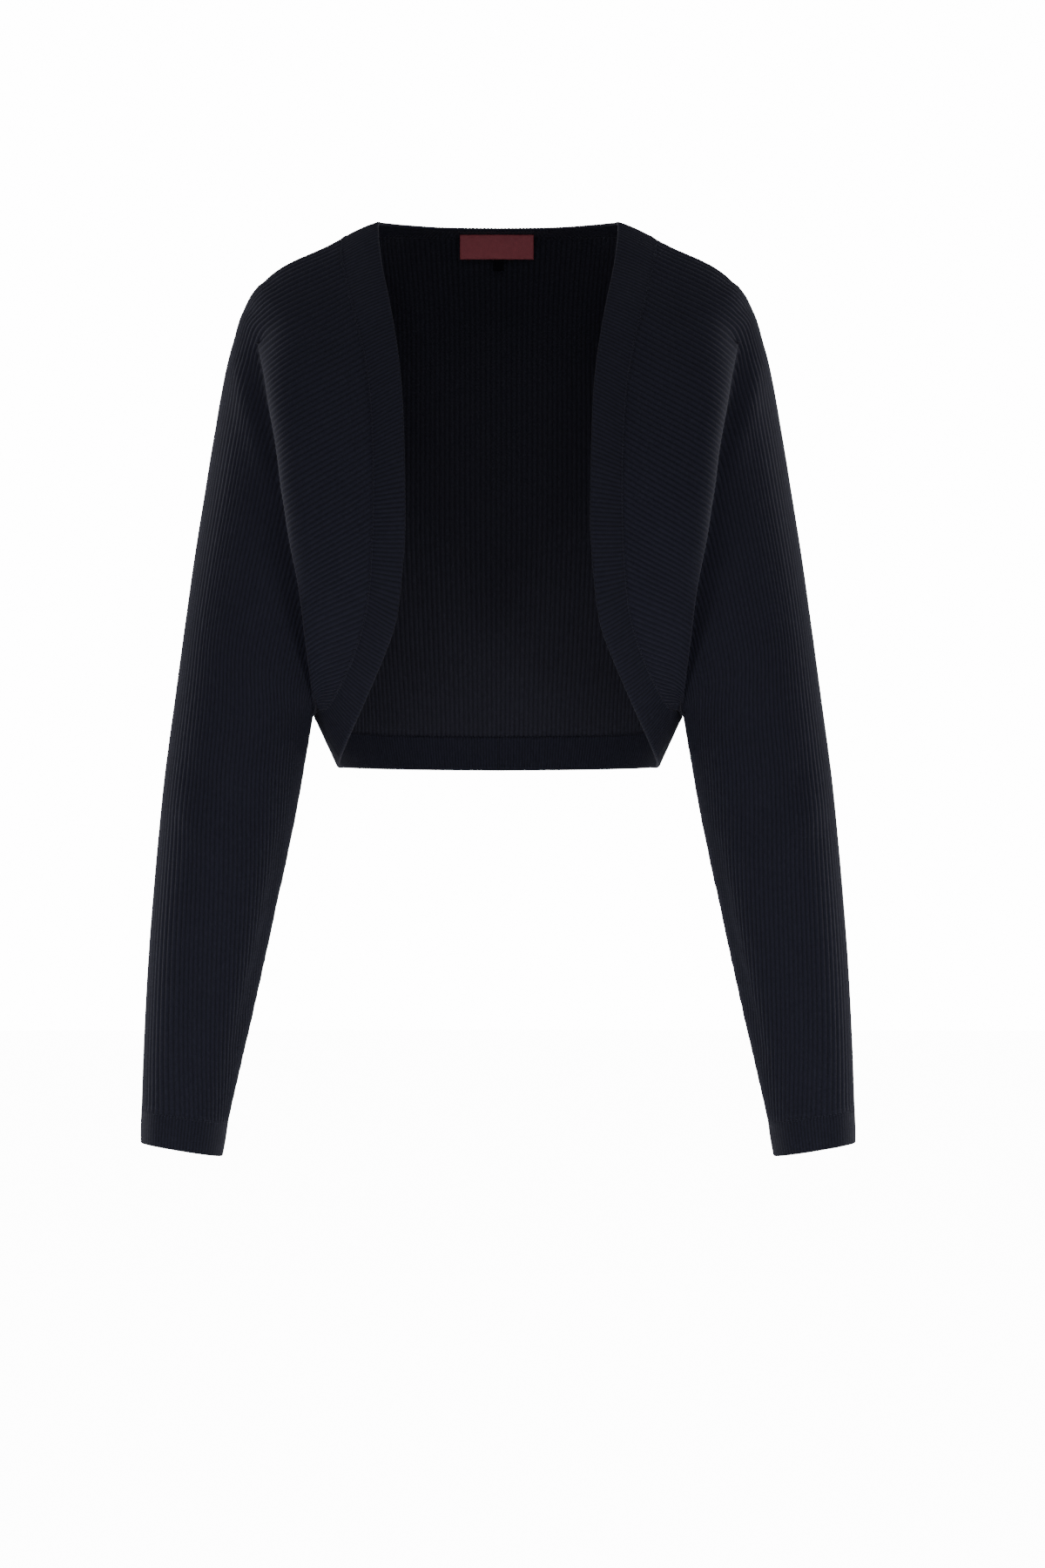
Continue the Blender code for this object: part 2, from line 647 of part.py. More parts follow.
def top_row(sheet):
    """The back's upper edge: the neck seam between the two shoulder seams."""
    neck = sheet.row(
        range(-NECK_LINES, NECK_LINES + 1),
        lambda line: mirrored(seam(STRIP_WAY * abs(line) / NECK_LINES), line),
    )
    ends = list(zip(SHOULDER_PLACES, SHOULDER_LABELS))
    left = [(line, sheet.point(armhole(label))) for line, label in ends]
    right = [(-line, sheet.point(mirrored(armhole(label), -1))) for line, label in ends]
    return [*reversed(right), *neck, *left]


def edge_row(sheet, ways):
    """The free edge of a band at signed distances along it: negative ones are on the wearer's right."""
    return [(way, sheet.point(mirrored(edge(abs(way)), way))) for way in ways]


def spread(low, high):
    """Evenly spaced distances along a band's free edge, both ends included."""
    return list(np.linspace(low, high, int(round((high - low) / EDGE_STEP)) + 1))


def add_band(sheet, seam_row, plain_seam_row, ways):
    """Fill a band between its seam and its free edge."""
    free = edge_row(sheet, ways)
    sheet.outer += zip_rows(free, seam_row)
    sheet.inner += zip_rows(free, plain_seam_row)


def neck_front_band():
    """The fine-rib band of the back neck and of both fronts, to the side seams."""
    sheet = Sheet("neck_front_band")
    front = [(front_way(line), line) for line in range(-SHOULDER_LINES, CHEST_LINES + 1)]
    neck = [(STRIP_WAY * line / NECK_LINES, line) for line in range(NECK_LINES)]
    half = [*neck, *front]
    signed = [*[(-way, line) for way, line in reversed(half[1:])], *half]

    def item(way):
        return way, sheet.point(mirrored(band_seam(abs(way)), way))
    seam_row = [item(way) for way, line in signed]
    ends = (-SHOULDER_LINES, RIDGE_LINE, CHEST_LINES)
    plain = [item(way) for way, line in signed if line % INNER_STEP == 0 or line in ends]
    half_ways = spread(0.0, UNDERARM_WAY)
    add_band(sheet, seam_row, plain, [*[-way for way in reversed(half_ways[1:])], *half_ways])
    return sheet


def hem_band():
    """The fine-rib band of the back hem, between the side seams."""
    sheet = Sheet("hem_band")
    lines = int(BACK_ROWS["lines"][-1])

    def item(line, way_place):
        return line, sheet.point(mirrored(way_place(side_way(abs(line) / lines)), line))
    seam_row = [item(line, band_seam) for line in range(-lines, lines + 1)]
    plain = [item for item in seam_row if item[0] % INNER_STEP == 0 or abs(item[0]) == lines]
    count = int(round((WAY[-1] - UNDERARM_WAY) / EDGE_STEP))
    free = [item(lines * k / count, edge) for k in range(-count, count + 1)]
    sheet.outer += zip_rows(seam_row, free)
    sheet.inner += zip_rows(plain, free)
    return sheet


def cuff(name, side):
    """A fine-rib cuff: a short tube on the sleeve's last ring."""
    sheet = Sheet(name, side)
    last = SECTIONS[-1]
    lines = int(last["lines"])
    end = {key: float(column[0]) for key, column in CUFF_END.items()}
    end["lines"] = lines
    end["front_angle"] = end["back_angle"] = math.pi
    end["front_end"] = end["back_end"] = (end["inner_x"], end["inner_z"])
    seam_row = sheet.row(range(-lines, lines + 1), lambda line: sleeve_point(last, line), ribbed=False)
    free = sheet.row(range(-lines, lines + 1, CUFF_STEP), lambda line: sleeve_point(end, line), ribbed=False)
    sheet.bridge(seam_row, free)
    return sheet


def plate(name, size, place, lean, material):
    """A flat rectangle of woven tape that hangs from its upper edge."""
    bpy.ops.mesh.primitive_cube_add(size=1, location=place, rotation=(lean, 0, 0))
    thing = bpy.context.object
    thing.name = name
    thing.scale = size
    bpy.ops.object.transform_apply(location=False, rotation=False, scale=True)
    thing.data.materials.append(material)
    for collection in list(thing.users_collection):
        collection.objects.unlink(thing)
    bpy.data.collections[COLLECTION].objects.link(thing)
    return thing


def cloth_material(name, colour, roughness):
    """A plain material with the colour and the dullness of a cloth."""
    material = bpy.data.materials.new(name)
    material.use_nodes = True
    shader = material.node_tree.nodes["Principled BSDF"]
    shader.inputs["Base Color"].default_value = (*colour, 1.0)
    shader.inputs["Roughness"].default_value = roughness
    shader.inputs["Metallic"].default_value = 0.0
    material.diffuse_color = (*colour, 1.0)
    return material


def build():
    """Make every piece of the shrug."""
    for thing in list(bpy.data.objects):
        bpy.data.objects.remove(thing, do_unlink=True)
    bpy.context.scene.collection.children.link(bpy.data.collections.new(COLLECTION))
    sheets = [
        front_sleeve("front_sleeve_left", 1),
        front_sleeve("front_sleeve_right", -1),
        back_panel(),
        neck_front_band(),
        hem_band(),
        cuff("cuff_left", 1),
        cuff("cuff_right", -1),
    ]
    normals = {}
    for sheet in sheets:
        add_normals(sheet, normals)
    for side in (1, -1):
        normals[place_key((UNDERARM[0] * side, UNDERARM[1], UNDERARM[2]))] = np.array((0.0, 0.0, -1.0))
    for sheet in sheets:
        ribbed = sheet.name.startswith(("front", "back"))
        knit = cloth_material(sheet.name + "_knit", (0.014, 0.017, 0.032), 0.85 if ribbed else 0.8)
        add_wall(sheet, normals, knit)
    red = cloth_material("label_tape", (0.16, 0.025, 0.035), 0.6)
    black = cloth_material("tab_tape", (0.012, 0.012, 0.013), 0.6)
    plate("label", LABEL_SIZE, LABEL_PLACE, LABEL_LEAN, red)
    plate("size_tab", TAB_SIZE, TAB_PLACE, TAB_LEAN, black)


build()
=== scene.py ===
# %% [markdown]
# # A cropped rib-knit shrug, hollow as when it is worn
#
# The real thing is a small open-front cardigan in a very dark navy rib knit. Each front runs on over the
# shoulder into its sleeve, the back is one plain panel, and a narrow band of finer ribs goes all round the
# body opening. The measured model gives the size and the place of every piece. This lesson replaces each of
# its plain cloth solids with a finer shell of the same form, and then adds what makes it look knitted.

# %% Start from the measured model
import math

import bpy
import numpy as np
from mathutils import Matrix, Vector


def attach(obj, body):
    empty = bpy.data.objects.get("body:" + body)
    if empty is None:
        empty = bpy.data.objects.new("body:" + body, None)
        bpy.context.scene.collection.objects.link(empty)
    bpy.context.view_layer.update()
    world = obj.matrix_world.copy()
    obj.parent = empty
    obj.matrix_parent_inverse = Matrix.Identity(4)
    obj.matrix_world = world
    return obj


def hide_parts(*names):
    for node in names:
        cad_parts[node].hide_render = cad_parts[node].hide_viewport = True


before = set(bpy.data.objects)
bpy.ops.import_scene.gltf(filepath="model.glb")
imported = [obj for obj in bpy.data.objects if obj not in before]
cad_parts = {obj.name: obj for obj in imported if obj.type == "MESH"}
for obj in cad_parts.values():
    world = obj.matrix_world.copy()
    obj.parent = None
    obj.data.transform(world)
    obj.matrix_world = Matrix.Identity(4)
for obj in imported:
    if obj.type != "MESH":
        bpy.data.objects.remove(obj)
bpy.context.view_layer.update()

# %% [markdown]
# ## Look at it from the front
#
# A garment is best shown from straight ahead with a long lens, because a long lens keeps the sleeves and
# the body at one scale. The camera comes first, so that every later step can be judged through it. A short
# lens close by would swell the front edges, so the camera stands 6 metres away.

# %% The camera
CAMERA_DISTANCE = 6.0
VIEW_HEIGHT = 1.134             # metres of the garment's middle plane that the picture's height covers
VIEW_CENTRE = (0.0176, -0.4076)
LONG_SIDE = 36.0                # millimetres of the sensor along the picture's height

camera = bpy.data.objects.new("camera", bpy.data.cameras.new("camera"))
bpy.context.scene.collection.objects.link(camera)
camera.location = (VIEW_CENTRE[0], -CAMERA_DISTANCE, VIEW_CENTRE[1])
camera.rotation_euler = (math.radians(90), 0.0, 0.0)
camera.data.sensor_width = LONG_SIDE
camera.data.lens = LONG_SIDE * CAMERA_DISTANCE / VIEW_HEIGHT
camera.data.clip_end = 60.0
bpy.context.scene.camera = camera
print("lens", round(camera.data.lens, 1), "mm")

# %% [markdown]
# ## Sizes as small tables
#
# A pattern maker describes a garment with a few lines: where the band's seam runs, how wide the band is,
# where each rib starts and ends, and how thick the sleeve is at each ring. The same few lines are kept here
# as short tables with named columns, in metres. The origin is on the middle plane at the height of the neck
# points, +X is the wearer's left, and the front faces -Y.


# %% Tables
def table(names, *rows):
    """Turn rows of numbers into one array for each named column."""
    return dict(zip(names.split(), np.array(rows, float).T))


UNDERARM = (0.1333, 0.0, -0.3570)

# The band round the opening, one half, from the back neck down the front and along the back hem.
BAND = table(
    "seam_x seam_y seam_z edge_x edge_y edge_z",
    (0.0000, 0.0745, -0.0062, 0.0000, 0.0515, -0.0017),
    (0.0430, 0.0700, -0.0060, 0.0370, 0.0485, -0.0014),
    (0.0850, 0.0460, -0.0068, 0.0690, 0.0320, -0.0004),
    (0.1045, 0.0215, -0.0084, 0.0830, 0.0170, 0.0000),
    (0.1125, 0.0040, -0.0125, 0.0867, 0.0050, -0.0008),
    (0.1136, -0.0090, -0.0214, 0.0867, -0.0070, -0.0085),
    (0.1105, -0.0280, -0.0396, 0.0840, -0.0320, -0.0310),
    (0.1037, -0.0520, -0.0670, 0.0783, -0.0590, -0.0600),
    (0.0972, -0.0680, -0.0930, 0.0733, -0.0780, -0.0885),
    (0.0922, -0.0800, -0.1220, 0.0695, -0.0925, -0.1200),
    (0.0896, -0.0890, -0.1580, 0.0676, -0.1025, -0.1578),
    (0.0887, -0.0920, -0.1940, 0.0667, -0.1045, -0.1945),
    (0.0892, -0.0905, -0.2250, 0.0666, -0.1030, -0.2270),
    (0.0904, -0.0865, -0.2500, 0.0683, -0.0985, -0.2530),
    (0.0945, -0.0780, -0.2870, 0.0735, -0.0895, -0.2930),
    (0.1008, -0.0685, -0.3090, 0.0800, -0.0790, -0.3125),
    (0.1080, -0.0570, -0.3270, 0.0883, -0.0670, -0.3320),
    (0.1150, -0.0440, -0.3408, 0.0970, -0.0540, -0.3510),
    (0.1225, -0.0270, -0.3525, 0.1066, -0.0360, -0.3710),
    (*UNDERARM, 0.1145, -0.0130, -0.3880),
    (0.1305, 0.0220, -0.3640, 0.1168, 0.0140, -0.3955),
    (0.1180, 0.0480, -0.3695, 0.1100, 0.0430, -0.3965),
    (0.0950, 0.0690, -0.3722, 0.0900, 0.0650, -0.3972),
    (0.0600, 0.0840, -0.3733, 0.0575, 0.0800, -0.3978),
    (0.0000, 0.0920, -0.3738, 0.0000, 0.0880, -0.3983),
)
SHOULDER_ROW = 4
UNDERARM_ROW = 19
BACK_STRIP = 0.009      # width of the front piece behind the shoulder's crest, at the band
SHOULDER_SPAN = 0.0552  # length of the seam from the shoulder's crest to the rib that starts the drape fold

# How far the band's ribs lean towards the neck, at the edge, for drops of the seam below the neck points.
BAND_LEAN = table(
    "drop lean",
    (0.000, 0.0000), (0.030, 0.0020), (0.060, 0.0036), (0.105, 0.0074), (0.155, 0.0108), (0.181, 0.0088),
    (0.206, 0.0036), (0.240, 0.0014), (0.260, -0.0010), (0.282, -0.0066), (0.302, -0.0090),
    (0.325, -0.0084), (0.345, -0.0040), (0.357, 0.0000),
)

# Where a rib starts at the band's seam and where it crosses the ridge of the drape fold, as drops.
RIB_RUNS = table(
    "seam_drop ridge_drop",
    (0.049, 0.086), (0.061, 0.102), (0.080, 0.121), (0.099, 0.140), (0.118, 0.159), (0.143, 0.183),
    (0.168, 0.208), (0.194, 0.232), (0.219, 0.253), (0.244, 0.273), (0.269, 0.293), (0.288, 0.309),
    (0.307, 0.3245), (0.320, 0.335), (0.334, 0.346), (0.346, 0.352), (0.357, 0.357),
)
RIDGE = table(
    "drop x depth",
    (0.0860, 0.1739, 0.000), (0.1115, 0.1695, 0.007), (0.1386, 0.1657, 0.012), (0.1640, 0.1613, 0.015),
    (0.1950, 0.1570, 0.017), (0.2370, 0.1506, 0.018), (0.2650, 0.1450, 0.017), (0.3005, 0.1406, 0.014),
    (0.3380, 0.1356, 0.006), (0.3570, 0.1333, 0.000),
)

# Rings of the sleeve, from the shoulder's corner to the cuff's seam; "lines" counts half a ring's lines.
SLEEVE = table(
    "lines outer_x outer_z inner_x inner_z axis_y front back",
    (24, 0.1865, -0.0700, 0.0865, -0.0900, 0.0020, 0.050, 0.048),
    (34, 0.1965, -0.1060, 0.0925, -0.1280, 0.0030, 0.056, 0.053),
    (46, 0.2050, -0.1500, 0.0990, -0.1720, 0.0040, 0.060, 0.056),
    (58, 0.2125, -0.1970, 0.1080, -0.2190, 0.0040, 0.060, 0.056),
    (68, 0.2200, -0.2440, 0.1165, -0.2620, 0.0030, 0.057, 0.054),
    (80, 0.2275, -0.2980, 0.1255, -0.3100, 0.0010, 0.053, 0.051),
    (92, 0.2350, -0.3520, UNDERARM[0], UNDERARM[2], UNDERARM[1], 0.049, 0.049),
    (84, 0.2412, -0.4000, 0.1405, -0.4010, -0.0030, 0.047, 0.048),
    (74, 0.2478, -0.4700, 0.1547, -0.4730, -0.0090, 0.043, 0.044),
    (66, 0.2527, -0.5350, 0.1692, -0.5400, -0.0140, 0.039, 0.040),
    (58, 0.2557, -0.5950, 0.1832, -0.6020, -0.0180, 0.034, 0.035),
    (50, 0.2572, -0.6425, 0.1946, -0.6520, -0.0210, 0.029, 0.030),
)
UNDERARM_RING = 6
LAST_RING = 11
CUFF_END = table(
    "outer_x outer_z inner_x inner_z axis_y front back",
    (0.2577, -0.6665, 0.1985, -0.6760, -0.0225, 0.0275, 0.0285),
)

# The seam between sleeve and back: along the shoulder, then down the back at each of the sleeve's rings.
SHOULDER_SEAM = table("line x y z", (8, 0.1360, 0.0160, -0.0275), (14, 0.1600, 0.0220, -0.0440))
BACK_ARMHOLE = table(
    "ring x z",
    (0, 0.1730, -0.0660), (1, 0.1540, -0.1120), (2, 0.1465, -0.1650), (3, 0.1430, -0.2130),
    (4, 0.1405, -0.2580), (5, 0.1372, -0.3080), (6, UNDERARM[0], UNDERARM[2]),
)

# How far a line of the chest stands out from the straight way between its ends, at its fullest place, and how
# far that place lies towards the ridge for the way up: the higher "lean", the nearer.
CHEST_SWELL = table(
    "line out forward up lean",
    (0, 0.003, 0.0, 0.0118, 1.45), (12, 0.003, 0.006, 0.0046, 1.3), (24, 0.002, 0.0105, 0.0024, 1.8),
    (45, 0.001, 0.011, 0.0026, 2.2), (80, 0.0, 0.009, 0.0015, 2.4), (120, 0.0, 0.0045, 0.0018, 2.0),
    (145, 0.0, 0.0016, 0.0026, 1.8), (160, 0.0, 0.0, 0.0, 1.8),
)
BACK_ROWS = table(
    "armhole lines",
    (24, 84), (29, 84), (34, 84), (46, 84), (63, 86), (80, 94), (92, 100),
)
BACK_DEPTH = table(
    "drop y",
    (0.0062, 0.0745), (0.0255, 0.0860), (0.0500, 0.0930), (0.0900, 0.0975), (0.1500, 0.0985),
    (0.2300, 0.0970), (0.3100, 0.0940), (0.3738, 0.0920),
)

# Ribs counted along the construction lines: on the chest, round the sleeve and across the back.
CHEST_RIBS = table("line rib", (-24, -11), (24, 11), (50, 26.5), (110, 65.5), (160, 94))
SLEEVE_RIBS = table("line rib", (-92, -51), (-24, -11), (24, 11), (92, 51))
BACK_RIBS = table("line rib", (-100, -54), (100, 54))
print("tables for", len(BAND["seam_x"]), "rows of band and", len(SLEEVE["lines"]), "rings of sleeve")

# %% [markdown]
# ## Smooth curves through the tables
#
# Between two rows of a table the cloth curves gently. A cubic piece between each pair of rows, with the
# slope at a row taken from its neighbours, passes through every number and never shows a corner. Splines
# with more freedom can swing out between the rows, which shows at once on plain cloth.


# %% Read a table between its rows
def smooth(knots, values, at):
    """A smooth curve through the values at the knots, read at one place or at many."""
    knots = np.asarray(knots, float)
    values = np.asarray(values, float)
    slopes = np.gradient(values, knots, axis=0)
    at = np.clip(np.asarray(at, float), knots[0], knots[-1])
    k = np.clip(np.searchsorted(knots, at, side="right") - 1, 0, len(knots) - 2)
    span = knots[k + 1] - knots[k]
    t = (at - knots[k]) / span
    if values.ndim > 1:
        span, t = span[..., None], t[..., None]
    rise = t * t * (3 - 2 * t)
    bend = span * t * (1 - t)
    return values[k] + (values[k + 1] - values[k]) * rise + bend * (slopes[k] * (1 - t) - slopes[k + 1] * t)


def read(rows, name, at):
    """One column of a table, smoothly, at places of its first column."""
    return smooth(next(iter(rows.values())), rows[name], at)


def corners(rows, start=""):
    """The x, y and z columns of a table as points."""
    return np.column_stack([rows[start + axis] for axis in "xyz"])


def walked(points):
    """How far each point lies along its row."""
    return np.concatenate([[0.0], np.cumsum(np.linalg.norm(np.diff(points, axis=0), axis=1))])


def unit(ways):
    """The same directions, each with length 1."""
    return ways / np.linalg.norm(ways, axis=1)[:, None]


def mix(a, b, t):
    """The point between a and b, or a whole row of them."""
    a, b = np.asarray(a, float), np.asarray(b, float)
    return a + (b - a) * np.asarray(t, float)[..., None]


SEAM, EDGE = corners(BAND, "seam_"), corners(BAND, "edge_")
WAY = walked(SEAM)
SHOULDER_WAY = WAY[SHOULDER_ROW]
UNDERARM_WAY = WAY[UNDERARM_ROW]
STRIP_WAY = SHOULDER_WAY - BACK_STRIP


def seam(way):
    """Points of the band's seam, at distances along it from the middle of the back neck."""
    return smooth(WAY, SEAM, way)


def edge(way):
    """The points of the band's free edge where the ribs that start at seam(way) end."""
    lean = read(BAND_LEAN, "lean", -seam(way)[..., 2])
    return smooth(WAY, EDGE, way - np.where(np.asarray(way) < UNDERARM_WAY, lean, 0.0))


print("the seam is", round(float(WAY[-1]), 3), "m long on each half")

# %% [markdown]
# ## Lines that follow the ribs
#
# Everything in a rib knit follows its ribs, so the whole shape is described with numbered lines that run
# along them. On the chest the lines run from the band across to a drape fold that hangs from the shoulder
# to the underarm, and the shoulder's lines run on down the sleeve. A plain grid would cut across the ribs
# at the seams. Lines that end where the seam cuts them look like knitting that was fashioned to shape.

# %% Lines of the chest, the fold and the sleeve
NECK_LINES = 60         # lines of the back that end at half the neck seam
SHOULDER_LINES = 4      # lines of the front piece that lie behind the shoulder's crest
RIDGE_LINE = 24         # first line that crosses the drape fold instead of the shoulder
CHEST_LINES = 160       # last line of the chest, at the underarm
CREST_TUCK = 0.0030     # how far the back of the fold curls in behind its ridge
SWELL_LEAN = 1.45       # above 1 the shoulder is fullest nearer to the sleeve than to the band
FULL_AT = 0.62          # share of the chest's width, from the band, where it is fullest
RIDGE_TURN = 4.6        # the higher, the more sharply the chest turns in at the ridge
FIRM_LINES = 24         # lines below the shoulder over which the chest gets its firm form
STRIP_RISE = 0.003      # bulge of the strip behind the shoulder's crest
UNDERARM_FAN = 1.07     # how much wider the ribs stand round the sleeve at the underarm, away from the seam
END_GATHER = 6          # the higher, the nearer to a ring's end its lines are gathered to meet that end


def front_way(line):
    """Where a line of the front piece starts along the band's seam."""
    fold_way = SHOULDER_WAY + SHOULDER_SPAN
    lines = [-SHOULDER_LINES, 0, RIDGE_LINE, CHEST_LINES]
    return np.interp(line, lines, [STRIP_WAY, SHOULDER_WAY, fold_way, UNDERARM_WAY])


def ridge_drop(line):
    """How far below the neck points a chest line crosses the ridge."""
    return np.interp(-seam(front_way(line))[..., 2], RIB_RUNS["seam_drop"], RIB_RUNS["ridge_drop"])


def chest_line(sleeve_line):
    """The chest's number for a line of the sleeve's front: every second line goes on past the fold."""
    return RIDGE_LINE + 2 * (sleeve_line - RIDGE_LINE)


def tuck(line):
    """How far the bottom of the fold lies inwards of the ridge: nothing at its two ends."""
    return CREST_TUCK * np.sin(math.pi * (line - RIDGE_LINE) / (CHEST_LINES - RIDGE_LINE))


def fold_bottom_xz(line):
    """Place, seen from the front, of the bottom of the fold on a chest line."""
    drop = ridge_drop(line)
    return read(RIDGE, "x", drop) - tuck(line), -drop


def ring_with_ends(place):
    """The sizes of the sleeve at any place between its rings, with where its front and back ends are."""
    rings = np.arange(LAST_RING + 1)
    ring = {name: float(smooth(rings, column, place)) for name, column in SLEEVE.items()}
    if place < UNDERARM_RING:
        ring["lines"] = min(ring["lines"], SLEEVE["lines"][UNDERARM_RING])
        ring["front_end"] = fold_bottom_xz(chest_line(ring["lines"]))
        ring["back_end"] = tuple(read(BACK_ARMHOLE, axis, place) for axis in "xz")
    else:
        ring["front_end"] = ring["back_end"] = (ring["inner_x"], ring["inner_z"])
    return ring


def end_angle(ring, end):
    """How far round a ring its end is: nothing is the outer side and pi the inner one."""
    middle_x = (ring["outer_x"] + ring["inner_x"]) / 2
    return math.acos(float(np.clip((end[0] - middle_x) / (ring["outer_x"] - middle_x), -1, 1)))


def ring_turns(end):
    """The angle from one line to the next on each ring of the table.  The ribs fan out from the underarm."""
    rings = [ring_with_ends(place) for place in range(LAST_RING + 1)]
    turns = np.array([end_angle(ring, ring[end]) / ring["lines"] for ring in rings])
    turns[UNDERARM_RING] *= UNDERARM_FAN
    return turns


FRONT_TURNS = ring_turns("front_end")
BACK_TURNS = ring_turns("back_end")


def sleeve_ring(place):
    """A ring of the sleeve with all that it takes to set out its lines."""
    ring = ring_with_ends(place)
    ring["front_turn"] = float(smooth(range(LAST_RING + 1), FRONT_TURNS, place))
    ring["back_turn"] = float(smooth(range(LAST_RING + 1), BACK_TURNS, place))
    return ring


def ring_points(ring, lines):
    """Points of a sleeve ring on its lines: positive lines go round the front, negative ones the back."""
    middle_x = (ring["outer_x"] + ring["inner_x"]) / 2
    half = ring["outer_x"] - middle_x
    points = np.zeros((len(lines), 3))
    for sign, side in ((1, "front"), (-1, "back")):
        chosen = lines * sign >= 0
        end_x, end_z = ring[side + "_end"]
        turn = ring[side + "_turn"]
        along = np.abs(lines[chosen]) / ring["lines"]
        short = turn * ring["lines"] - end_angle(ring, ring[side + "_end"])
        angle = turn * np.abs(lines[chosen]) - short * along ** END_GATHER
        x = middle_x + half * np.cos(angle)
        share = (ring["outer_x"] - x) / (ring["outer_x"] - end_x)
        points[chosen, 0] = x
        points[chosen, 1] = ring["axis_y"] - sign * ring[side] * np.sin(angle)
        points[chosen, 2] = ring["outer_z"] + (end_z - ring["outer_z"]) * share
    return points


# %% [markdown]
# ## Curves that two pieces share
#
# Two curves have cloth on both sides: the bottom of the drape fold, where the chest goes over into the
# sleeve, and the armhole, where the sleeve is linked to the back. Both come from the ends of the sleeve's
# rings, so the two pieces that meet there read the same points.

# %% Curves where the sleeve meets the fold and the back
PLACES_A_RING = 8       # places on these curves for each ring of the table
SEAM_PLACES = np.linspace(0, UNDERARM_RING, PLACES_A_RING * UNDERARM_RING + 1)
SEAM_RINGS = [sleeve_ring(place) for place in SEAM_PLACES]
FOLD_KNOTS = [chest_line(ring["lines"]) for ring in SEAM_RINGS]
FOLD_Y = [ring_points(ring, np.array([ring["lines"]]))[0, 1] for ring in SEAM_RINGS]
ARMHOLE_KNOTS = [SHOULDER_LINES, *SHOULDER_SEAM["line"], *[ring["lines"] for ring in SEAM_RINGS]]
ARMHOLE_POINTS = np.array([
    seam(STRIP_WAY),
    *corners(SHOULDER_SEAM),
    *[ring_points(ring, np.array([-ring["lines"]]))[0] for ring in SEAM_RINGS],
])


def fold_bottom(line):
    """The bottom of the drape fold, where the chest goes over into the sleeve."""
    x, z = fold_bottom_xz(line)
    return np.stack([x, smooth(FOLD_KNOTS, FOLD_Y, line), z], axis=-1)


def ridge(line):
    """The ridge of the drape fold, in front of its bottom."""
    drop = ridge_drop(line)
    y = fold_bottom(line)[..., 1] - read(RIDGE, "depth", drop)
    return np.stack([read(RIDGE, "x", drop), y, -drop], axis=-1)


def armhole(line):
    """Points of the seam between sleeve and back, from the band to the underarm."""
    return smooth(ARMHOLE_KNOTS, ARMHOLE_POINTS, line)


def fullness(lines, station):
    """How full the chest is at a station: 0 at its two ends and 1 at its fullest."""
    soft = math.sin(math.pi * station ** SWELL_LEAN)
    if station < FULL_AT:
        firm = math.sin(math.pi / 2 * station / FULL_AT)
    else:
        firm = 1 - ((station - FULL_AT) / (1 - FULL_AT)) ** RIDGE_TURN
    below_shoulder = smooth([RIDGE_LINE, RIDGE_LINE + FIRM_LINES], [0.0, 1.0], lines)
    return soft + (firm - soft) * below_shoulder


def chest_points(lines, station):
    """Points of the chest on its lines, from the band's seam (station 0) to the ridge or the sleeve (1)."""
    start = seam(front_way(lines))
    end = ridge(lines)
    over = lines <= RIDGE_LINE
    end[over] = ring_points(SEAM_RINGS[0], lines[over])
    out, forward, up, lean = (read(CHEST_SWELL, name, lines) for name in ("out", "forward", "up", "lean"))
    full = fullness(lines, station)
    swell = np.stack([out * full, -forward * full, up * np.sin(math.pi * station ** lean)], axis=-1)
    return mix(start, end, np.full(len(lines), station)) + swell


print("the armhole seam has", len(ARMHOLE_KNOTS), "places and the fold", len(FOLD_KNOTS))

# %% [markdown]
# ## A sheet made of rows
#
# A piece of knitting is built here like the real one, row by row. Each row is a list of points with their
# rib numbers, and two neighbouring rows are zipped together: the side that is behind always takes the next
# step. So rows may have different numbers of points, and a rib can end at a seam. A grid with equal rows
# would be simpler, but then ribs would have to get narrower instead of ending.

# %% The sheet
QUARTER = 0.25          # of a rib from one point to the next: trough, flank, crest, flank
END_SPACE = 0.4         # of that step, at least, from an end of a row to its nearest inner point
ROW_STEP = 0.005        # spacing of the rows along the ribs


class Sheet:
    """A knitted sheet: its triangles and points.

    Each point has a rib number, a place along its rib, the height of the rib there, and how much the cloth is
    eased there.
    """

    def __init__(self):
        self.rows = []
        self.faces = []

    def row(self, above, ribs, points, run, first=None, last=None, closed=False, relief=1.0, ease=0.0):
        """Add a row below another one.  Its first or last point may be an earlier one, or close it on itself.

        Returns (ribs, numbers).
        """
        start = 1 if first is not None else 0
        stop = len(ribs) - 1 if closed or last is not None else len(ribs)
        number = sum(map(len, self.rows))
        numbers = list(range(number, number + stop - start))
        self.rows.append(np.column_stack([points, *np.broadcast_arrays(ribs, run, relief, ease)])[start:stop])
        if first is not None:
            numbers.insert(0, first)
        if closed:
            last = numbers[0]
        if last is not None:
            numbers.append(last)
        if above is not None:
            self.zip(above, (ribs, numbers))
        return ribs, numbers

    def zip(self, first, second):
        """Fill the strip between two rows, always going on along the row that is behind."""
        (ribs_a, a), (ribs_b, b) = first, second
        i = j = 0
        while i < len(a) - 1 or j < len(b) - 1:
            along_a = j == len(b) - 1 or (i < len(a) - 1 and ribs_a[i + 1] <= ribs_b[j + 1])
            face = (a[i], a[i + 1], b[j]) if along_a else (a[i], b[j + 1], b[j])
            if along_a:
                i += 1
            else:
                j += 1
            if len(set(face)) == 3:
                self.faces.append(face)

    def arrays(self):
        """Everything as arrays: points, ribs, runs, reliefs, eases, faces."""
        values = np.vstack(self.rows)
        return values[:, :3], *values[:, 3:].T, np.array(self.faces)


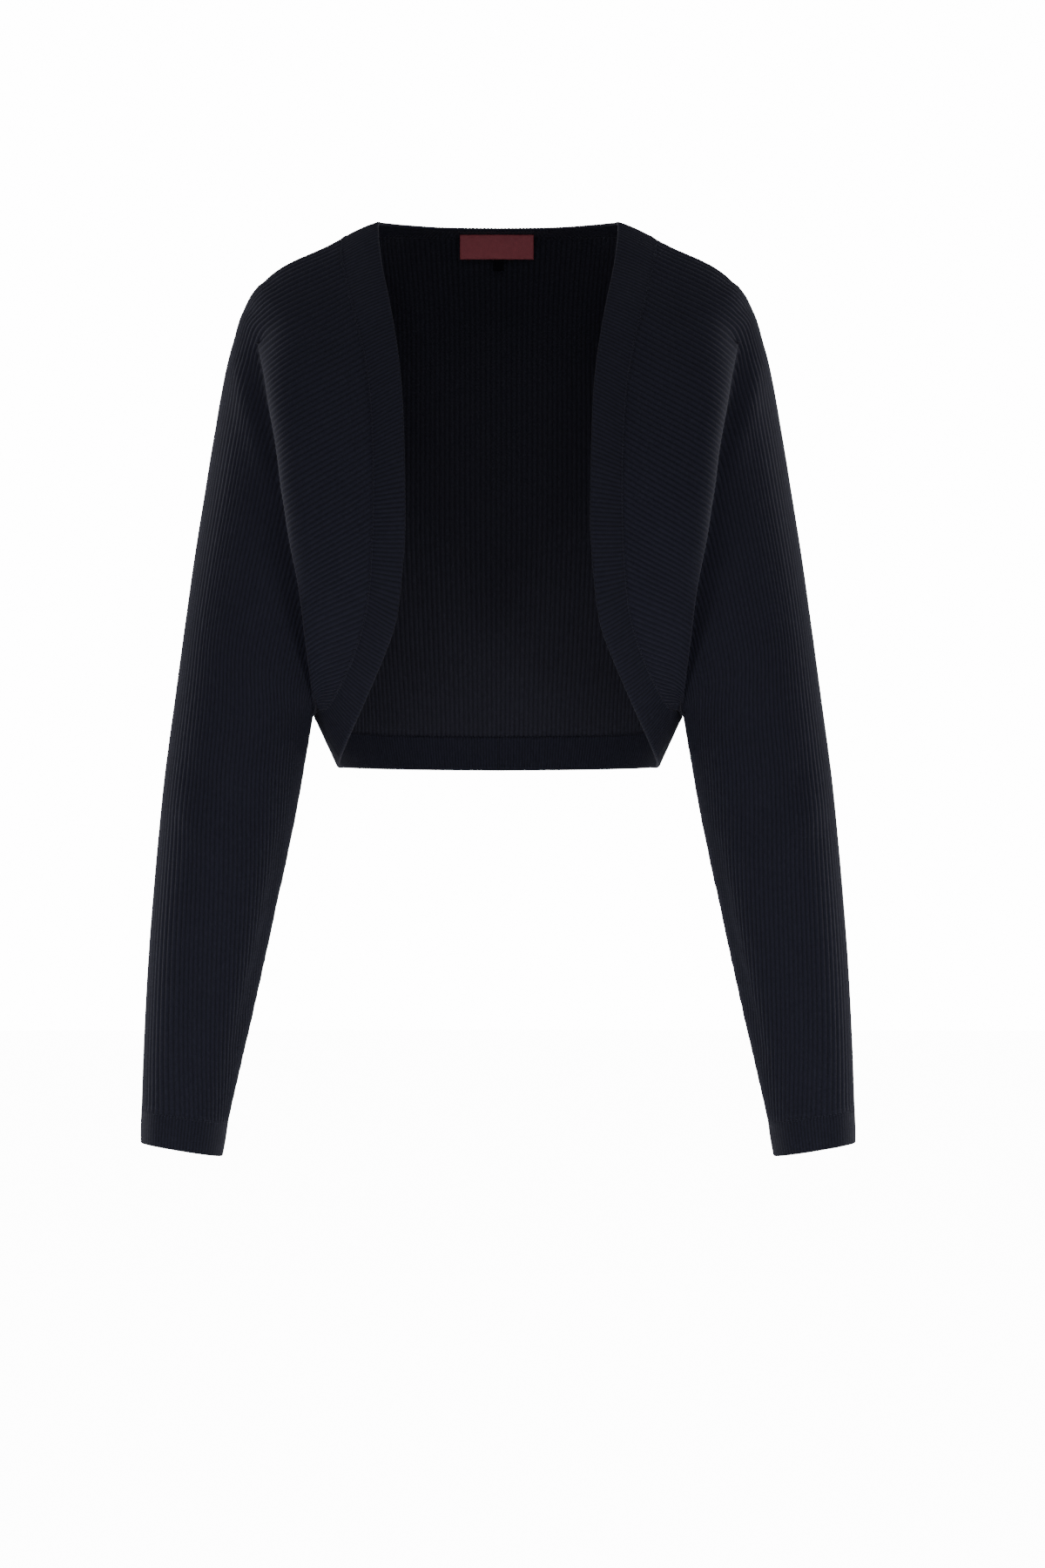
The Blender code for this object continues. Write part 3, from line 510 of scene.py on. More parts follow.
def fine_lines(low, high, count):
    """The lines of every quarter rib from low to high, both ends included, and their rib numbers."""
    first, last = np.interp([low, high], count["line"], count["rib"])
    low_step, high_step = math.ceil(first / QUARTER + END_SPACE), math.floor(last / QUARTER - END_SPACE)
    inner = np.arange(low_step, high_step + 1) * QUARTER
    ribs = np.concatenate([[first], inner, [last]])
    return np.interp(ribs, count["rib"], count["line"]), ribs


print("one rib has", round(1 / QUARTER), "points across")

# %% [markdown]
# ## Front and sleeve in one
#
# This is the largest piece: the chest, the shoulder and the whole sleeve, with the drape fold between chest
# and sleeve. It could be draped by a cloth simulation over a figure, but a simulation rarely gives the same
# fold twice, and the fold here has a known place. So the rows are set out one by one: over the chest, over
# the ridge of the fold and down behind it, and then ring after ring down the sleeve.

# %% The front and sleeve
# Shares of the chest's width with a row, closer together where it turns in; then the same down the fold.
CHEST_STATIONS = np.concatenate([np.linspace(0, 0.86, 20), [0.90, 0.93, 0.955, 0.98, 1.0]])
FOLD_STATIONS = (0.12, 0.28, 0.46, 0.64, 0.82)
CHEST_WIDTH = 0.085     # about, along the ribs from the band to the ridge, to number the stitches
FOLD_WIDTH = 0.02       # the same from the ridge to the bottom of the fold
EASE_REACH = 0.6        # how far, in rings, the cloth is eased above and below the underarm
RIDGE_RELIEF = 0.45     # height of the ribs on the ridge, as a share of their height elsewhere
FLAT_FROM = 0.90        # share of the chest's width from which on the ribs get flatter
FLAT_LINES = 12         # lines below the shoulder over which this sets in
# Where the strip behind the shoulder's crest ends: line numbers at shares of the chest's width.
STRIP_ENDS = ((0.0, 0.36, 0.72, 1.0), (SHOULDER_LINES, *SHOULDER_SEAM["line"], RIDGE_LINE))


def ridge_relief(lines, station):
    """How high the ribs are: they flatten where they are drawn over the ridge of the fold."""
    across = np.interp(station, [FLAT_FROM, 1.0], [0.0, 1.0])
    down = np.interp(lines, [RIDGE_LINE, RIDGE_LINE + FLAT_LINES], [0.0, 1.0])
    return 1 - (1 - RIDGE_RELIEF) * (across * down)


def sleeve_places():
    """Places of the rows down the sleeve, about evenly spaced."""
    drops = np.cumsum(np.concatenate([[0], np.hypot(np.diff(SLEEVE["outer_x"]), np.diff(SLEEVE["outer_z"]))]))
    count = int(round(drops[-1] / ROW_STEP))
    even = np.interp(np.linspace(0, drops[-1], count + 1), drops, np.arange(LAST_RING + 1))
    even[np.abs(even - UNDERARM_RING).argmin()] = UNDERARM_RING
    return even, np.interp(even, np.arange(LAST_RING + 1), drops)


def front_sleeve_sheet():
    """The rows of the front and sleeve, on the wearer's left."""
    sheet = Sheet()
    above = None
    for station in CHEST_STATIONS[:-1]:
        end_line = float(smooth(*STRIP_ENDS, station))
        lines, ribs = fine_lines(-end_line, CHEST_LINES, CHEST_RIBS)
        behind = lines < 0
        points = np.zeros((len(lines), 3))
        points[~behind] = chest_points(lines[~behind], station)
        share = -lines[behind] / end_line
        if station == 0:
            points[behind] = seam(front_way(lines[behind]))
        else:
            crest = chest_points(np.zeros(1), station)[0]
            points[behind] = mix(crest, armhole(end_line), share)
            points[behind, 2] += STRIP_RISE * share * (1 - share)
        above = sheet.row(
            above, ribs, points, (station - 1) * CHEST_WIDTH, relief=ridge_relief(lines, station))
    lines, ribs = fine_lines(-RIDGE_LINE, CHEST_LINES, CHEST_RIBS)
    corner = int(np.abs(lines - RIDGE_LINE).argmin())
    lines[corner] = RIDGE_LINE
    over = lines <= RIDGE_LINE
    points = np.concatenate([ring_points(SEAM_RINGS[0], lines[over]), ridge(lines[~over])])
    ribs, numbers = sheet.row(above, ribs, points, 0.0, relief=ridge_relief(lines, 1.0))

    top = (ribs[:corner + 1], numbers[:corner + 1])
    flank = (ribs[corner:], numbers[corner:])
    crest_ribs, crest_lines = ribs[corner:], lines[corner:]
    fold_top, underarm = numbers[corner], numbers[-1]
    for station in FOLD_STATIONS:
        points = mix(ridge(crest_lines), fold_bottom(crest_lines), np.full(len(crest_lines), station))
        points[:, 0] -= tuck(crest_lines) * 4 * station * (1 - station)
        run = FOLD_WIDTH * station
        flank = sheet.row(
            flank, crest_ribs, points, run, first=fold_top, last=underarm, relief=RIDGE_RELIEF)

    ends = [(RIDGE_LINE, fold_top)]
    above = top
    for place, run in list(zip(*sleeve_places()))[1:]:
        ring = sleeve_ring(place)
        half = ring["lines"]
        lines, ribs = fine_lines(-half, half, SLEEVE_RIBS)
        points = ring_points(ring, lines)
        ease = math.exp(-((place - UNDERARM_RING) / EASE_REACH) ** 2)
        if place < UNDERARM_RING:
            above = sheet.row(above, ribs, points, run, ease=ease)
            ends.append((chest_line(half), above[1][-1]))
        elif place == UNDERARM_RING:
            above = sheet.row(above, ribs, points, run, first=underarm, last=underarm, ease=ease)
            ends.append((CHEST_LINES, underarm))
        else:
            above = sheet.row(above, ribs, points, run, closed=True, ease=ease)
    end_lines, numbers = zip(*ends)
    sheet.zip(flank, (np.interp(end_lines, CHEST_RIBS["line"], CHEST_RIBS["rib"]), numbers))
    return sheet


front_sleeve = front_sleeve_sheet()
print("front and sleeve:", len(front_sleeve.faces), "triangles on one side of the cloth")

# %% [markdown]
# ## The back
#
# The back is a plain panel. Its ribs hang straight down from the neck and from the shoulder seams, and a
# few more start along the armholes where the panel gets wider. It is seen twice: from behind, and from the
# front through the open body, where its inner side shows.

# %% The back panel
SHOULDER_FADE = 9       # power with which the shoulder's slope fades down the back
SEAM_FADE = 26          # power with which the shape of the neck and shoulder seams fades below them
SHOULDER_SLOPE = 0.030  # how far the shoulder's slope lies forward of the back's section
SLOPE_LEAN = 1.47       # puts the slope's fullest place below the neck's corner
TOP_DROP = 0.02         # rows lie closer together down to here
TOP_ROWS = 7
LOW_ROWS = 60
KNOTS = 25              # on the neck seam, and again on the shoulder seam
SHOULDER_PLACES = (4, 6, 8, 11, 14, 19, 24)     # lines of the armhole, evenly spaced along the back's top
TOP_ENDS = (NECK_LINES, BACK_ROWS["lines"][0])
NECK_KNOTS = np.linspace(0, NECK_LINES, KNOTS)
SHOULDER_KNOTS = np.linspace(*TOP_ENDS, KNOTS)[1:]
SHOULDER_MARKS = np.interp(SHOULDER_KNOTS, np.linspace(*TOP_ENDS, len(SHOULDER_PLACES)), SHOULDER_PLACES)
TOP_KNOTS = np.concatenate([NECK_KNOTS, SHOULDER_KNOTS])
TOP_POINTS = np.concatenate([seam(STRIP_WAY * NECK_KNOTS / NECK_LINES), armhole(SHOULDER_MARKS)])


def side_way(share):
    """Distance along the seam of the back's lower edge, from the middle to the underarm."""
    return WAY[-1] + (UNDERARM_WAY - WAY[-1]) * share


def back_points(share, height, end_line):
    """Points of the back: share 0 is its middle and 1 its armhole; height goes from 0, low, to 1."""
    side = armhole(end_line)
    low = seam(side_way(share))
    high = smooth(TOP_KNOTS, TOP_POINTS, share * TOP_KNOTS[-1])
    across = low[:, 0] / UNDERARM[0] * (1 - height) + high[:, 0] / TOP_POINTS[-1][0] * height
    z = low[:, 2] * (1 - height) + high[:, 2] * height
    middle_y = read(BACK_DEPTH, "y", -(SEAM[-1][2] * (1 - height) + SEAM[0][2] * height))
    low_shape = (low[:, 1] - UNDERARM[1]) / (SEAM[-1][1] - UNDERARM[1])
    shape = low_shape + (1 - across ** 2 - low_shape) * math.sqrt(height)
    y = side[1] + (middle_y - side[1]) * shape
    top_y = TOP_POINTS[-1][1] + (SEAM[0][1] - TOP_POINTS[-1][1]) * (1 - across ** 2)
    slope = -SHOULDER_SLOPE * np.sin(math.pi * across ** SLOPE_LEAN) ** 2
    y += slope * (height ** SHOULDER_FADE - height ** SEAM_FADE) + (high[:, 1] - top_y) * height ** SEAM_FADE
    return np.column_stack([across * side[0], y, z])


def mirrored(points, lines):
    """The same points, on the wearer's right where the line's number is negative."""
    return np.column_stack([np.where(lines < 0, -points[:, 0], points[:, 0]), points[:, 1], points[:, 2]])


def back_sheet():
    """The rows of the back, from the neck and shoulder seams down to the hem band."""
    sheet = Sheet()
    end_lines = np.linspace(RIDGE_LINE, SLEEVE["lines"][UNDERARM_RING], 200)
    end_drops = armhole(RIDGE_LINE)[2] - armhole(end_lines)[:, 2]
    deepest = armhole(RIDGE_LINE)[2] - UNDERARM[2]
    drops = [np.linspace(0, TOP_DROP, TOP_ROWS + 1)[:-1], np.linspace(TOP_DROP, deepest, LOW_ROWS)]
    above = None
    for drop in np.concatenate(drops):
        end_line = float(np.interp(drop, end_drops, end_lines))
        half = float(np.interp(end_line, BACK_ROWS["armhole"], BACK_ROWS["lines"]))
        height = max(0.0, 1 - drop / deepest)
        lines, ribs = fine_lines(-half, half, BACK_RIBS)
        points = mirrored(back_points(np.abs(lines) / half, height, end_line), lines)
        above = sheet.row(above, ribs, points, drop)
    return sheet


back = back_sheet()
print("back:", len(back.faces), "triangles on one side of the cloth")

# %% [markdown]
# ## From a sheet to cloth
#
# A sheet has no thickness yet. Real knitting is a shell: ribs stand out on both of its sides, and what is a
# crest outside is a trough inside. A Solidify modifier could thicken the sheet, but it can't put ribs on
# both sides, so the two sides are made here from the sheet's own directions and joined along the free
# edges. Before that the sheet is relaxed a little, as cloth does by itself, so that no corner of the
# construction is left. It is eased for longer round the underarm and at the top of the drape fold, where
# many rows come together.

# %% Relax, thicken and shape the ribs
CLOTH = 0.0022          # crest of a rib outside to the crest of the next one inside
RIB_HEIGHT = 0.0009     # crest to trough
EVEN_ROUNDS = 8         # rounds of relaxing for a whole sheet
UNDERARM_ROUNDS = 90    # more rounds round the underarm
FOLD_TOP_ROUNDS = 30    # more rounds at the top of the drape fold
FOLD_TOP = (0.1735, -0.0880)    # x and z of that place
FOLD_TOP_REACH = 0.007  # how far round it the cloth is eased
KNIT_COURSE = 0.0016    # height of one stitch along a rib
SEAM_RELIEF = 0.25      # height of the ribs at a seam, which holds them flat


def edges_of(faces):
    """The three edges of every triangle."""
    return np.concatenate([faces[:, [0, 1]], faces[:, [1, 2]], faces[:, [2, 0]]])


def border_of(faces):
    """The free edges, each in the direction of the triangle beside it."""
    edges = edges_of(faces)
    size = int(faces.max()) + 1
    code = edges[:, 0].astype(np.int64) * size + edges[:, 1]
    back_code = edges[:, 1].astype(np.int64) * size + edges[:, 0]
    return edges[~np.isin(code, back_code)]


def relax(points, faces, rounds, share=1.0):
    """Move each point towards the middle of its neighbours, again and again; free edges stay."""
    pairs = np.unique(np.sort(edges_of(faces), axis=1), axis=0)
    both = np.concatenate([pairs, pairs[:, ::-1]])
    count = np.bincount(both[:, 0], minlength=len(points)).astype(float)
    step = np.full(len(points), 0.5) * share
    step[border_of(faces).ravel()] = 0.0
    points = points.copy()
    for _ in range(rounds):
        middle = np.column_stack([
            np.bincount(both[:, 0], weights=points[both[:, 1], axis], minlength=len(points)) / count
            for axis in range(3)
        ])
        points += step[:, None] * (middle - points)
    return points


def directions(points, faces):
    """The outward direction at each point."""
    corner = points[faces]
    face_way = np.cross(corner[:, 1] - corner[:, 0], corner[:, 2] - corner[:, 0])
    total = np.column_stack([
        sum(np.bincount(faces[:, k], weights=face_way[:, axis], minlength=len(points)) for k in range(3))
        for axis in range(3)
    ])
    return unit(total)


def rib_wave(ribs):
    """1 on the crest of a rib and 0 in the trough."""
    return 0.5 - 0.5 * np.cos(2 * math.pi * ribs)


def add_mesh(name, points, faces, **numbers):
    """Put a mesh of triangles or quads into the scene, with numbers at its points for a material to read."""
    mesh = bpy.data.meshes.new(name)
    mesh.from_pydata(points.tolist(), [], [tuple(face) for face in faces])
    mesh.update()
    for key, values in numbers.items():
        mesh.attributes.new(key, "FLOAT", "POINT").data.foreach_set("value", np.asarray(values, np.float32))
    mesh.shade_smooth()
    piece = bpy.data.objects.new(name, mesh)
    bpy.context.scene.collection.objects.link(piece)
    return piece


ARC_POINTS = 25         # places along a crease from which its distance is measured
CREASE_START = 0.08     # share of half a wave at which a crease starts and ends, so that it fades out there
CREASE_FADE = 0.7       # the lower, the longer a crease keeps its full height
CREASE_FACING = 1.5     # the higher, the sooner a crease ends where the cloth turns to the side


def creased(points, normals, creases):
    """Move points out on a ridge and in on a trough; each crease runs along an arc through three places."""
    moved = np.zeros(len(points))
    for x0, z0, x1, z1, x2, z2, width, height, face in np.column_stack(list(creases.values())):
        t = np.linspace(0, 1, ARC_POINTS)[:, None]
        arc = (1 - t) ** 2 * (x0, z0) + 2 * t * (1 - t) * (2 * x1 - (x0 + x2) / 2, 2 * z1 - (z0 + z2) / 2)
        arc += t ** 2 * (x2, z2)
        away = np.hypot(points[:, 0, None] - arc[:, 0], points[:, 2, None] - arc[:, 1])
        place = t[away.argmin(axis=1), 0]
        fade = np.sin(math.pi * (CREASE_START + (1 - 2 * CREASE_START) * place)) ** CREASE_FADE
        facing = np.clip(0.5 - CREASE_FACING * face * normals[:, 1], 0, 1)
        moved += height * np.exp(-(away.min(axis=1) / width) ** 2) * fade * facing
    return points + normals * moved[:, None]


def fold_ease(points):
    """How much the cloth is eased at the top of the drape fold, where the fold starts out of the shoulder."""
    away = np.hypot(points[:, 0] - FOLD_TOP[0], points[:, 2] - FOLD_TOP[1])
    return np.where(points[:, 1] < 0, np.exp(-(away / FOLD_TOP_REACH) ** 2), 0.0)


def cloth_shell(name, sheet, creases, side=1):
    """Make a sheet a closed shell with ribs on both sides."""
    points, ribs, runs, reliefs, eases, faces = sheet.arrays()
    points = relax(points, faces, EVEN_ROUNDS)
    points = relax(points, faces, UNDERARM_ROUNDS, eases)
    points = relax(points, faces, FOLD_TOP_ROUNDS, fold_ease(points))
    points = creased(points, directions(points, faces), creases)
    normals = directions(points, faces)
    rib = rib_wave(ribs)
    border = border_of(faces)
    height = RIB_HEIGHT * reliefs
    height[border.ravel()] *= SEAM_RELIEF
    outside = points - normals * (height * (1 - rib))[:, None]
    inside = points - normals * (CLOTH - height * rib)[:, None]
    count = len(points)
    walls = np.column_stack([border[:, 1], border[:, 0], border[:, 0] + count, border[:, 1] + count])
    all_points = np.concatenate([outside, inside]) * (side, 1, 1)
    everything = [*faces.tolist(), *(faces[:, ::-1] + count).tolist(), *walls.tolist()]
    if side < 0:
        everything = [face[::-1] for face in everything]
    # The rib number places the painted trough shade, half a rib on inside, and inner picks the inside's
    # lighter colours, which are painted light.
    return add_mesh(
        name, all_points, everything,
        rib=np.concatenate([ribs, ribs + 0.5]),
        inner=np.repeat([0.0, 1.0], count),
        course=np.concatenate([runs, runs]) / KNIT_COURSE,
    )


# Soft creases: three places on each, its half width and height (below 0 for a trough), and 1 for a crease on
# the front or -1 for one behind.
SLEEVE_CREASES = table(
    "x0 z0 x1 z1 x2 z2 width height face",
    (0.1890, -0.1000, 0.1800, -0.1380, 0.1620, -0.1980, 0.0085, 0.0022, 1),
    (0.1800, -0.1040, 0.1722, -0.1340, 0.1600, -0.1790, 0.0065, -0.0012, 1),
    (0.1700, -0.0430, 0.1775, -0.0520, 0.1840, -0.0640, 0.0190, 0.0024, 1),
    (0.1700, -0.0430, 0.1775, -0.0520, 0.1840, -0.0640, 0.0190, 0.0016, -1),
    (0.1560, -0.4500, 0.1700, -0.5250, 0.1890, -0.6000, 0.0045, -0.0022, 1),
    (0.1500, -0.4600, 0.1640, -0.5300, 0.1820, -0.5900, 0.0040, 0.0012, 1),
    (0.2240, -0.3900, 0.2050, -0.4150, 0.1780, -0.4300, 0.0110, -0.0016, 1),
    (0.2290, -0.4250, 0.2100, -0.4480, 0.1860, -0.4620, 0.0090, 0.0014, 1),
    (0.1850, -0.1200, 0.1720, -0.1900, 0.1500, -0.2700, 0.0090, 0.0030, -1),
    (0.1980, -0.1500, 0.1860, -0.2200, 0.1620, -0.3050, 0.0080, -0.0026, -1),
    (0.1480, -0.3900, 0.1750, -0.4150, 0.2150, -0.4300, 0.0100, -0.0028, -1),
    (0.1560, -0.4350, 0.1850, -0.4500, 0.2260, -0.4500, 0.0090, 0.0020, -1),
    (0.1600, -0.4900, 0.1900, -0.4980, 0.2300, -0.4900, 0.0090, -0.0018, -1),
)
BACK_CREASES = table(
    "x0 z0 x1 z1 x2 z2 width height face",
    (0.1300, -0.1250, 0.1080, -0.1900, 0.0900, -0.2800, 0.0120, 0.0016, -1),
    (-0.1320, -0.1400, -0.1120, -0.2150, -0.0850, -0.3000, 0.0130, 0.0018, -1),
    (0.0500, -0.2100, 0.0350, -0.2900, 0.0300, -0.3500, 0.0150, -0.0012, -1),
    (-0.0400, -0.1700, -0.0350, -0.2500, -0.0450, -0.3300, 0.0150, -0.0010, -1),
)

left_front = cloth_shell("front_sleeve_left_knit", front_sleeve, SLEEVE_CREASES)
right_front = cloth_shell("front_sleeve_right_knit", front_sleeve, SLEEVE_CREASES, side=-1)
back_knit = cloth_shell("back_knit", back, BACK_CREASES)
for piece in (left_front, right_front, back_knit):
    print(piece.name, len(piece.data.polygons), "faces")

# %% [markdown]
# ## Bands and cuffs
#
# A band is knitted sideways in a finer rib and linked to the garment, so its ribs run across it. It is a
# strip with a round free edge. Its outline across is one closed ring of points, and the ring is repeated
# along the seam, four times for each rib. A bevelled curve would give the same strip, but a curve can't
# follow two edges at once, and the width of this band changes as it goes round the corner at the side.

# %% A band between a seam and a free edge
BAND_SIZES = {}         # the flat width and length of each band, measured when it is made
BAND_CLOTH = 0.0030     # a band's rib knit is a little thicker than the body's
EDGE_RELIEF = 0.45      # height of the ribs on the round free edge, as a share of their height on the band
BAND_COURSE = 0.0014    # height of one stitch along a band's rib
FLAT_PLACES = (0.0, 0.0012, 0.0030, 0.0060, 0.0100, 0.0140, 0.0180)     # points across, from the seam
EDGE_SPACE = 0.001      # from the last of them, at least, to the start of the round edge
EDGE_ANGLES = np.radians([30, 60, 90, 120, 150])    # points round the free edge
OUTER_SIDE = -0.1       # points that face further out than this have the outer side's ribs


def band_profile(width, crown):
    """The ring across a band: distances from the seam, depths, and the outward way as (across, out)."""
    radius = BAND_CLOTH / 2

    def bulge(place):
        return crown * 4 * place / width * (1 - place / width)

    flat = [np.full(len(width), place) for place in FLAT_PLACES if place < width.min() - radius - EDGE_SPACE]
    flat.append(width - radius)
    ring = [(place, -bulge(place), 0.0, 1.0) for place in flat]
    for angle in EDGE_ANGLES:
        over, up = math.sin(angle), math.cos(angle)
        ring.append((width - radius + radius * over, np.full(len(width), radius - radius * up), over, up))
    ring += [(place, BAND_CLOTH - bulge(place), 0.0, -1.0) for place in reversed(flat)]
    return (np.array(column) for column in zip(*ring))


def band_shell(name, starts, ends, along, ribs, rib_height, crown, closed=False, flip=1):
    """A band from its seam points to its free edge points, with its ribs counted along it."""
    over = ends - starts
    width = np.linalg.norm(over, axis=1)
    over = over / width[:, None]
    out = unit(np.cross(over, along) * flip)
    across, depth, out_across, out_up = band_profile(width, crown)
    rounds = len(across)
    wave = 1 - rib_wave(ribs)
    middle = (starts + ends) / 2
    steps = np.linalg.norm(np.diff(middle, axis=0, append=middle[:1] if closed else middle[-1:]), axis=1)
    BAND_SIZES[name] = (round(float(width.mean()), 4), round(float(steps.sum()), 4))
    grid = np.zeros((rounds, len(starts), 3))
    for k in range(rounds):
        relief = EDGE_RELIEF if out_across[k] else SEAM_RELIEF if k in (0, rounds - 1) else 1.0
        sink = rib_height * relief * ((1 - wave) if out_up[k] > OUTER_SIDE else wave)
        place = starts + over * across[k][:, None] - out * depth[k][:, None]
        grid[k] = place - (over * out_across[k] + out * out_up[k]) * sink[:, None]
    count = len(starts)
    points = grid.transpose(1, 0, 2).reshape(-1, 3)
    faces = []
    for j in range(count if closed else count - 1):
        a, b = j * rounds, (j + 1) % count * rounds
        for k in range(rounds):
            m = (k + 1) % rounds
            faces.append((a + k, b + k, b + m, a + m))
    if not closed:
        faces.append(tuple(range(rounds)))
        faces.append(tuple(reversed(range((count - 1) * rounds, count * rounds))))
    if flip < 0:
        faces = [face[::-1] for face in faces]
    # Half a rib on, so that the knit material's painted trough shade falls in the band's troughs.
    rib = np.repeat(ribs, rounds) + 0.5
    course = across.T.ravel() / BAND_COURSE
    return add_mesh(name, points, faces, rib=rib, course=course)


WAY_STEP = 0.0005       # to both sides of a place, to find the way along the seam there


def way_points(ways):
    """Seam points, edge points and the way along the seam, at distances from the middle of the neck.

    A distance below 0 is on the wearer's right.
    """
    starts = mirrored(seam(np.abs(ways)), ways)
    ends = mirrored(edge(np.abs(ways)), ways)
    ahead = seam(np.minimum(np.abs(ways) + WAY_STEP, WAY[-1]))
    behind = seam(np.maximum(np.abs(ways) - WAY_STEP, 0.0))
    along = mirrored(ahead - behind, ways)
    along[ways < 0] *= -1
    along[np.abs(ways) < WAY_STEP] = (1.0, 0.0, 0.0)
    return starts, ends, unit(along)


def hem_points(offsets):
    """The same along the hem, at distances from its middle, and the other way round."""
    starts, ends, along = way_points(np.where(offsets < 0, -1, 1) * (WAY[-1] - np.abs(offsets)))
    return starts, ends, -along


FRONT_PITCH = 0.0030    # width of one rib of the front band
HEM_PITCH = 0.0021      # width of one rib of the hem band
CUFF_RIBS = 78
RIB_POINTS = 4          # points along the band for each rib
END_GAP = 0.0002        # between a band's end and the place where the next band starts
WALK_POINTS = 801       # places round a cuff's seam by which it is measured
FRONT_RIB = 0.00046     # crest to trough on the front band
FINE_RIB = 0.00032      # crest to trough on hem and cuffs
FRONT_CROWN = 0.0007    # how far the middle of the front band stands out
FINE_CROWN = 0.0003     # the same on hem and cuffs


def band_places(half, pitch):
    """Where a band has its points, as distances from its middle."""
    count = int(round(2 * half / pitch)) * RIB_POINTS
    return np.linspace(-half + END_GAP, half - END_GAP, count + 1)


places = band_places(UNDERARM_WAY, FRONT_PITCH)
neck_front_band = band_shell(
    "neck_front_band_knit", *way_points(places), places / FRONT_PITCH, FRONT_RIB, FRONT_CROWN)

HEM_HALF = WAY[-1] - UNDERARM_WAY
places = band_places(HEM_HALF, HEM_PITCH)
hem_band = band_shell(
    "hem_band_knit", *hem_points(places), places / HEM_PITCH, FINE_RIB, FINE_CROWN, flip=-1)


def cuff_points(count, side):
    """Evenly spaced points round a cuff: on its seam, on its free edge, and the way round."""
    first = sleeve_ring(LAST_RING)
    last = {key: float(column[0]) for key, column in CUFF_END.items()}
    last["lines"] = first["lines"]
    last["front_end"] = last["back_end"] = (last["inner_x"], last["inner_z"])
    last["front_turn"] = last["back_turn"] = math.pi / last["lines"]
    dense = np.linspace(-first["lines"], first["lines"], WALK_POINTS)
    walk = walked(ring_points(first, dense))
    even = np.interp(np.linspace(0, walk[-1], count + 1)[:-1], walk, dense)
    starts, ends = ring_points(first, even), ring_points(last, even)
    along = unit(np.roll(starts, -1, axis=0) - np.roll(starts, 1, axis=0))
    return [values * (side, 1, 1) for values in (starts, ends, along)]


def cuff_shell(name, side):
    """A cuff: the same strip, closed into a ring on the sleeve's last row."""
    count = CUFF_RIBS * RIB_POINTS
    ribs = np.arange(count) / RIB_POINTS
    return band_shell(
        name, *cuff_points(count, side), ribs, FINE_RIB, FINE_CROWN, closed=True, flip=-side)


left_cuff = cuff_shell("cuff_left_knit", 1)
right_cuff = cuff_shell("cuff_right_knit", -1)
for piece in (neck_front_band, hem_band, left_cuff, right_cuff):
    print(piece.name, len(piece.data.polygons), "faces, flat size", BAND_SIZES[piece.name])

# %% [markdown]
# ## Linked seams
#
# Bands are joined to the knitting by linking: a chain of yarn loops that lies on the seam, on both sides of
# the cloth. From a step away it is a fine double line of dots, lighter than the ribs beside it, because it
# stands proud of them. Each loop is two short legs in a V, so one rounded grain of yarn is made here and
# repeated along the seam. A bump in the material couldn't catch the light on its edge.

# %% Chains of loops along the seams
LOOP = 0.0022           # length of one loop along the seam
LEG = 0.0018            # length of one of its two legs
FRONT_YARN = 0.00028    # half the thickness of the yarn in the front seam
FINE_YARN = 0.00022     # the same at hem and cuffs
LEG_APART = 0.00055     # from the seam to the middle of a leg
LEG_TURN = 0.28         # radians between a leg and the seam
LINK_RISE = 0.00002     # how far the yarn's middle lies above the crests
LOOP_SHADE = 0.37       # stitches from one leg's shade to the next, so that no two neighbours look the same
CUFF_LOOPS = 1.1        # loops for each rib of the cuff
START_LOOPS, STOP_LOOPS = 4, 3.5        # loops left out at the ends of a chain, at the underarm


def grain():
    """One short rounded grain of yarn, of length 1 along X and radius 1: points and faces."""
    points = [(-0.5, 0.0, 0.0)]
    for x, radius in ((-0.38, 0.75), (0.0, 1.0), (0.38, 0.75)):
        points += [(x, radius * math.cos(a), radius * math.sin(a)) for a in np.radians(range(0, 360, 60))]
    points.append((0.5, 0.0, 0.0))
    faces = []
    for k in range(6):
        m = (k + 1) % 6
        faces.append((0, 1 + m, 1 + k))
        for ring in (1, 7):
            faces.append((ring + k, ring + m, ring + 6 + m, ring + 6 + k))
        faces.append((19, 13 + k, 13 + m))
    return np.array(points), faces


def linking(name, rows, yarn):
    """A chain of loops along each row: (seam points, ways across, ways out)."""
    shape, shape_faces = grain()
    points, faces, loops = [], [], []
    for centres, across, out in rows:
        along = np.cross(across, out)
        for side in (-1, 1):
            leg_way = along * math.cos(LEG_TURN) + across * side * math.sin(LEG_TURN)
            leg_side = np.cross(out, leg_way)
            aparts = across * side * LEG_APART
            for centre, way, beside, up, apart in zip(centres, leg_way, leg_side, out, aparts):
                base = len(points) * len(shape)
                place = centre + apart + up * LINK_RISE
                points.append(place + shape[:, :1] * LEG * way + shape[:, 1:2] * yarn * beside
                              + shape[:, 2:] * yarn * up)
                faces += [tuple(base + corner for corner in face) for face in shape_faces]
                loops.append(np.full(len(shape), base * LOOP_SHADE))
    return add_mesh(name, np.vstack(points), faces, rib=np.full(len(points) * len(shape), 0.5),
                    course=np.concatenate(loops))


def seam_frames(starts, ends, along, flip=1):
    """Both sides of a seam: its points outside and inside, with the ways across and out."""
    across = ends - starts
    across = unit(across - along * (across * along).sum(axis=1)[:, None])
    out = np.cross(across, along) * flip
    return [(starts, across, out), (starts - out * CLOTH, across, -out)]


def loop_places(half):
    """Where a seam has its loops, as distances from its middle."""
    return np.arange(-half + START_LOOPS * LOOP, half - STOP_LOOPS * LOOP, LOOP)


def cuff_linking(name, side):
    """The chain of loops round a cuff's seam, outside only."""
    outside = seam_frames(*cuff_points(int(CUFF_RIBS * CUFF_LOOPS), side), flip=-side)[:1]
    return linking(name, outside, FINE_YARN)


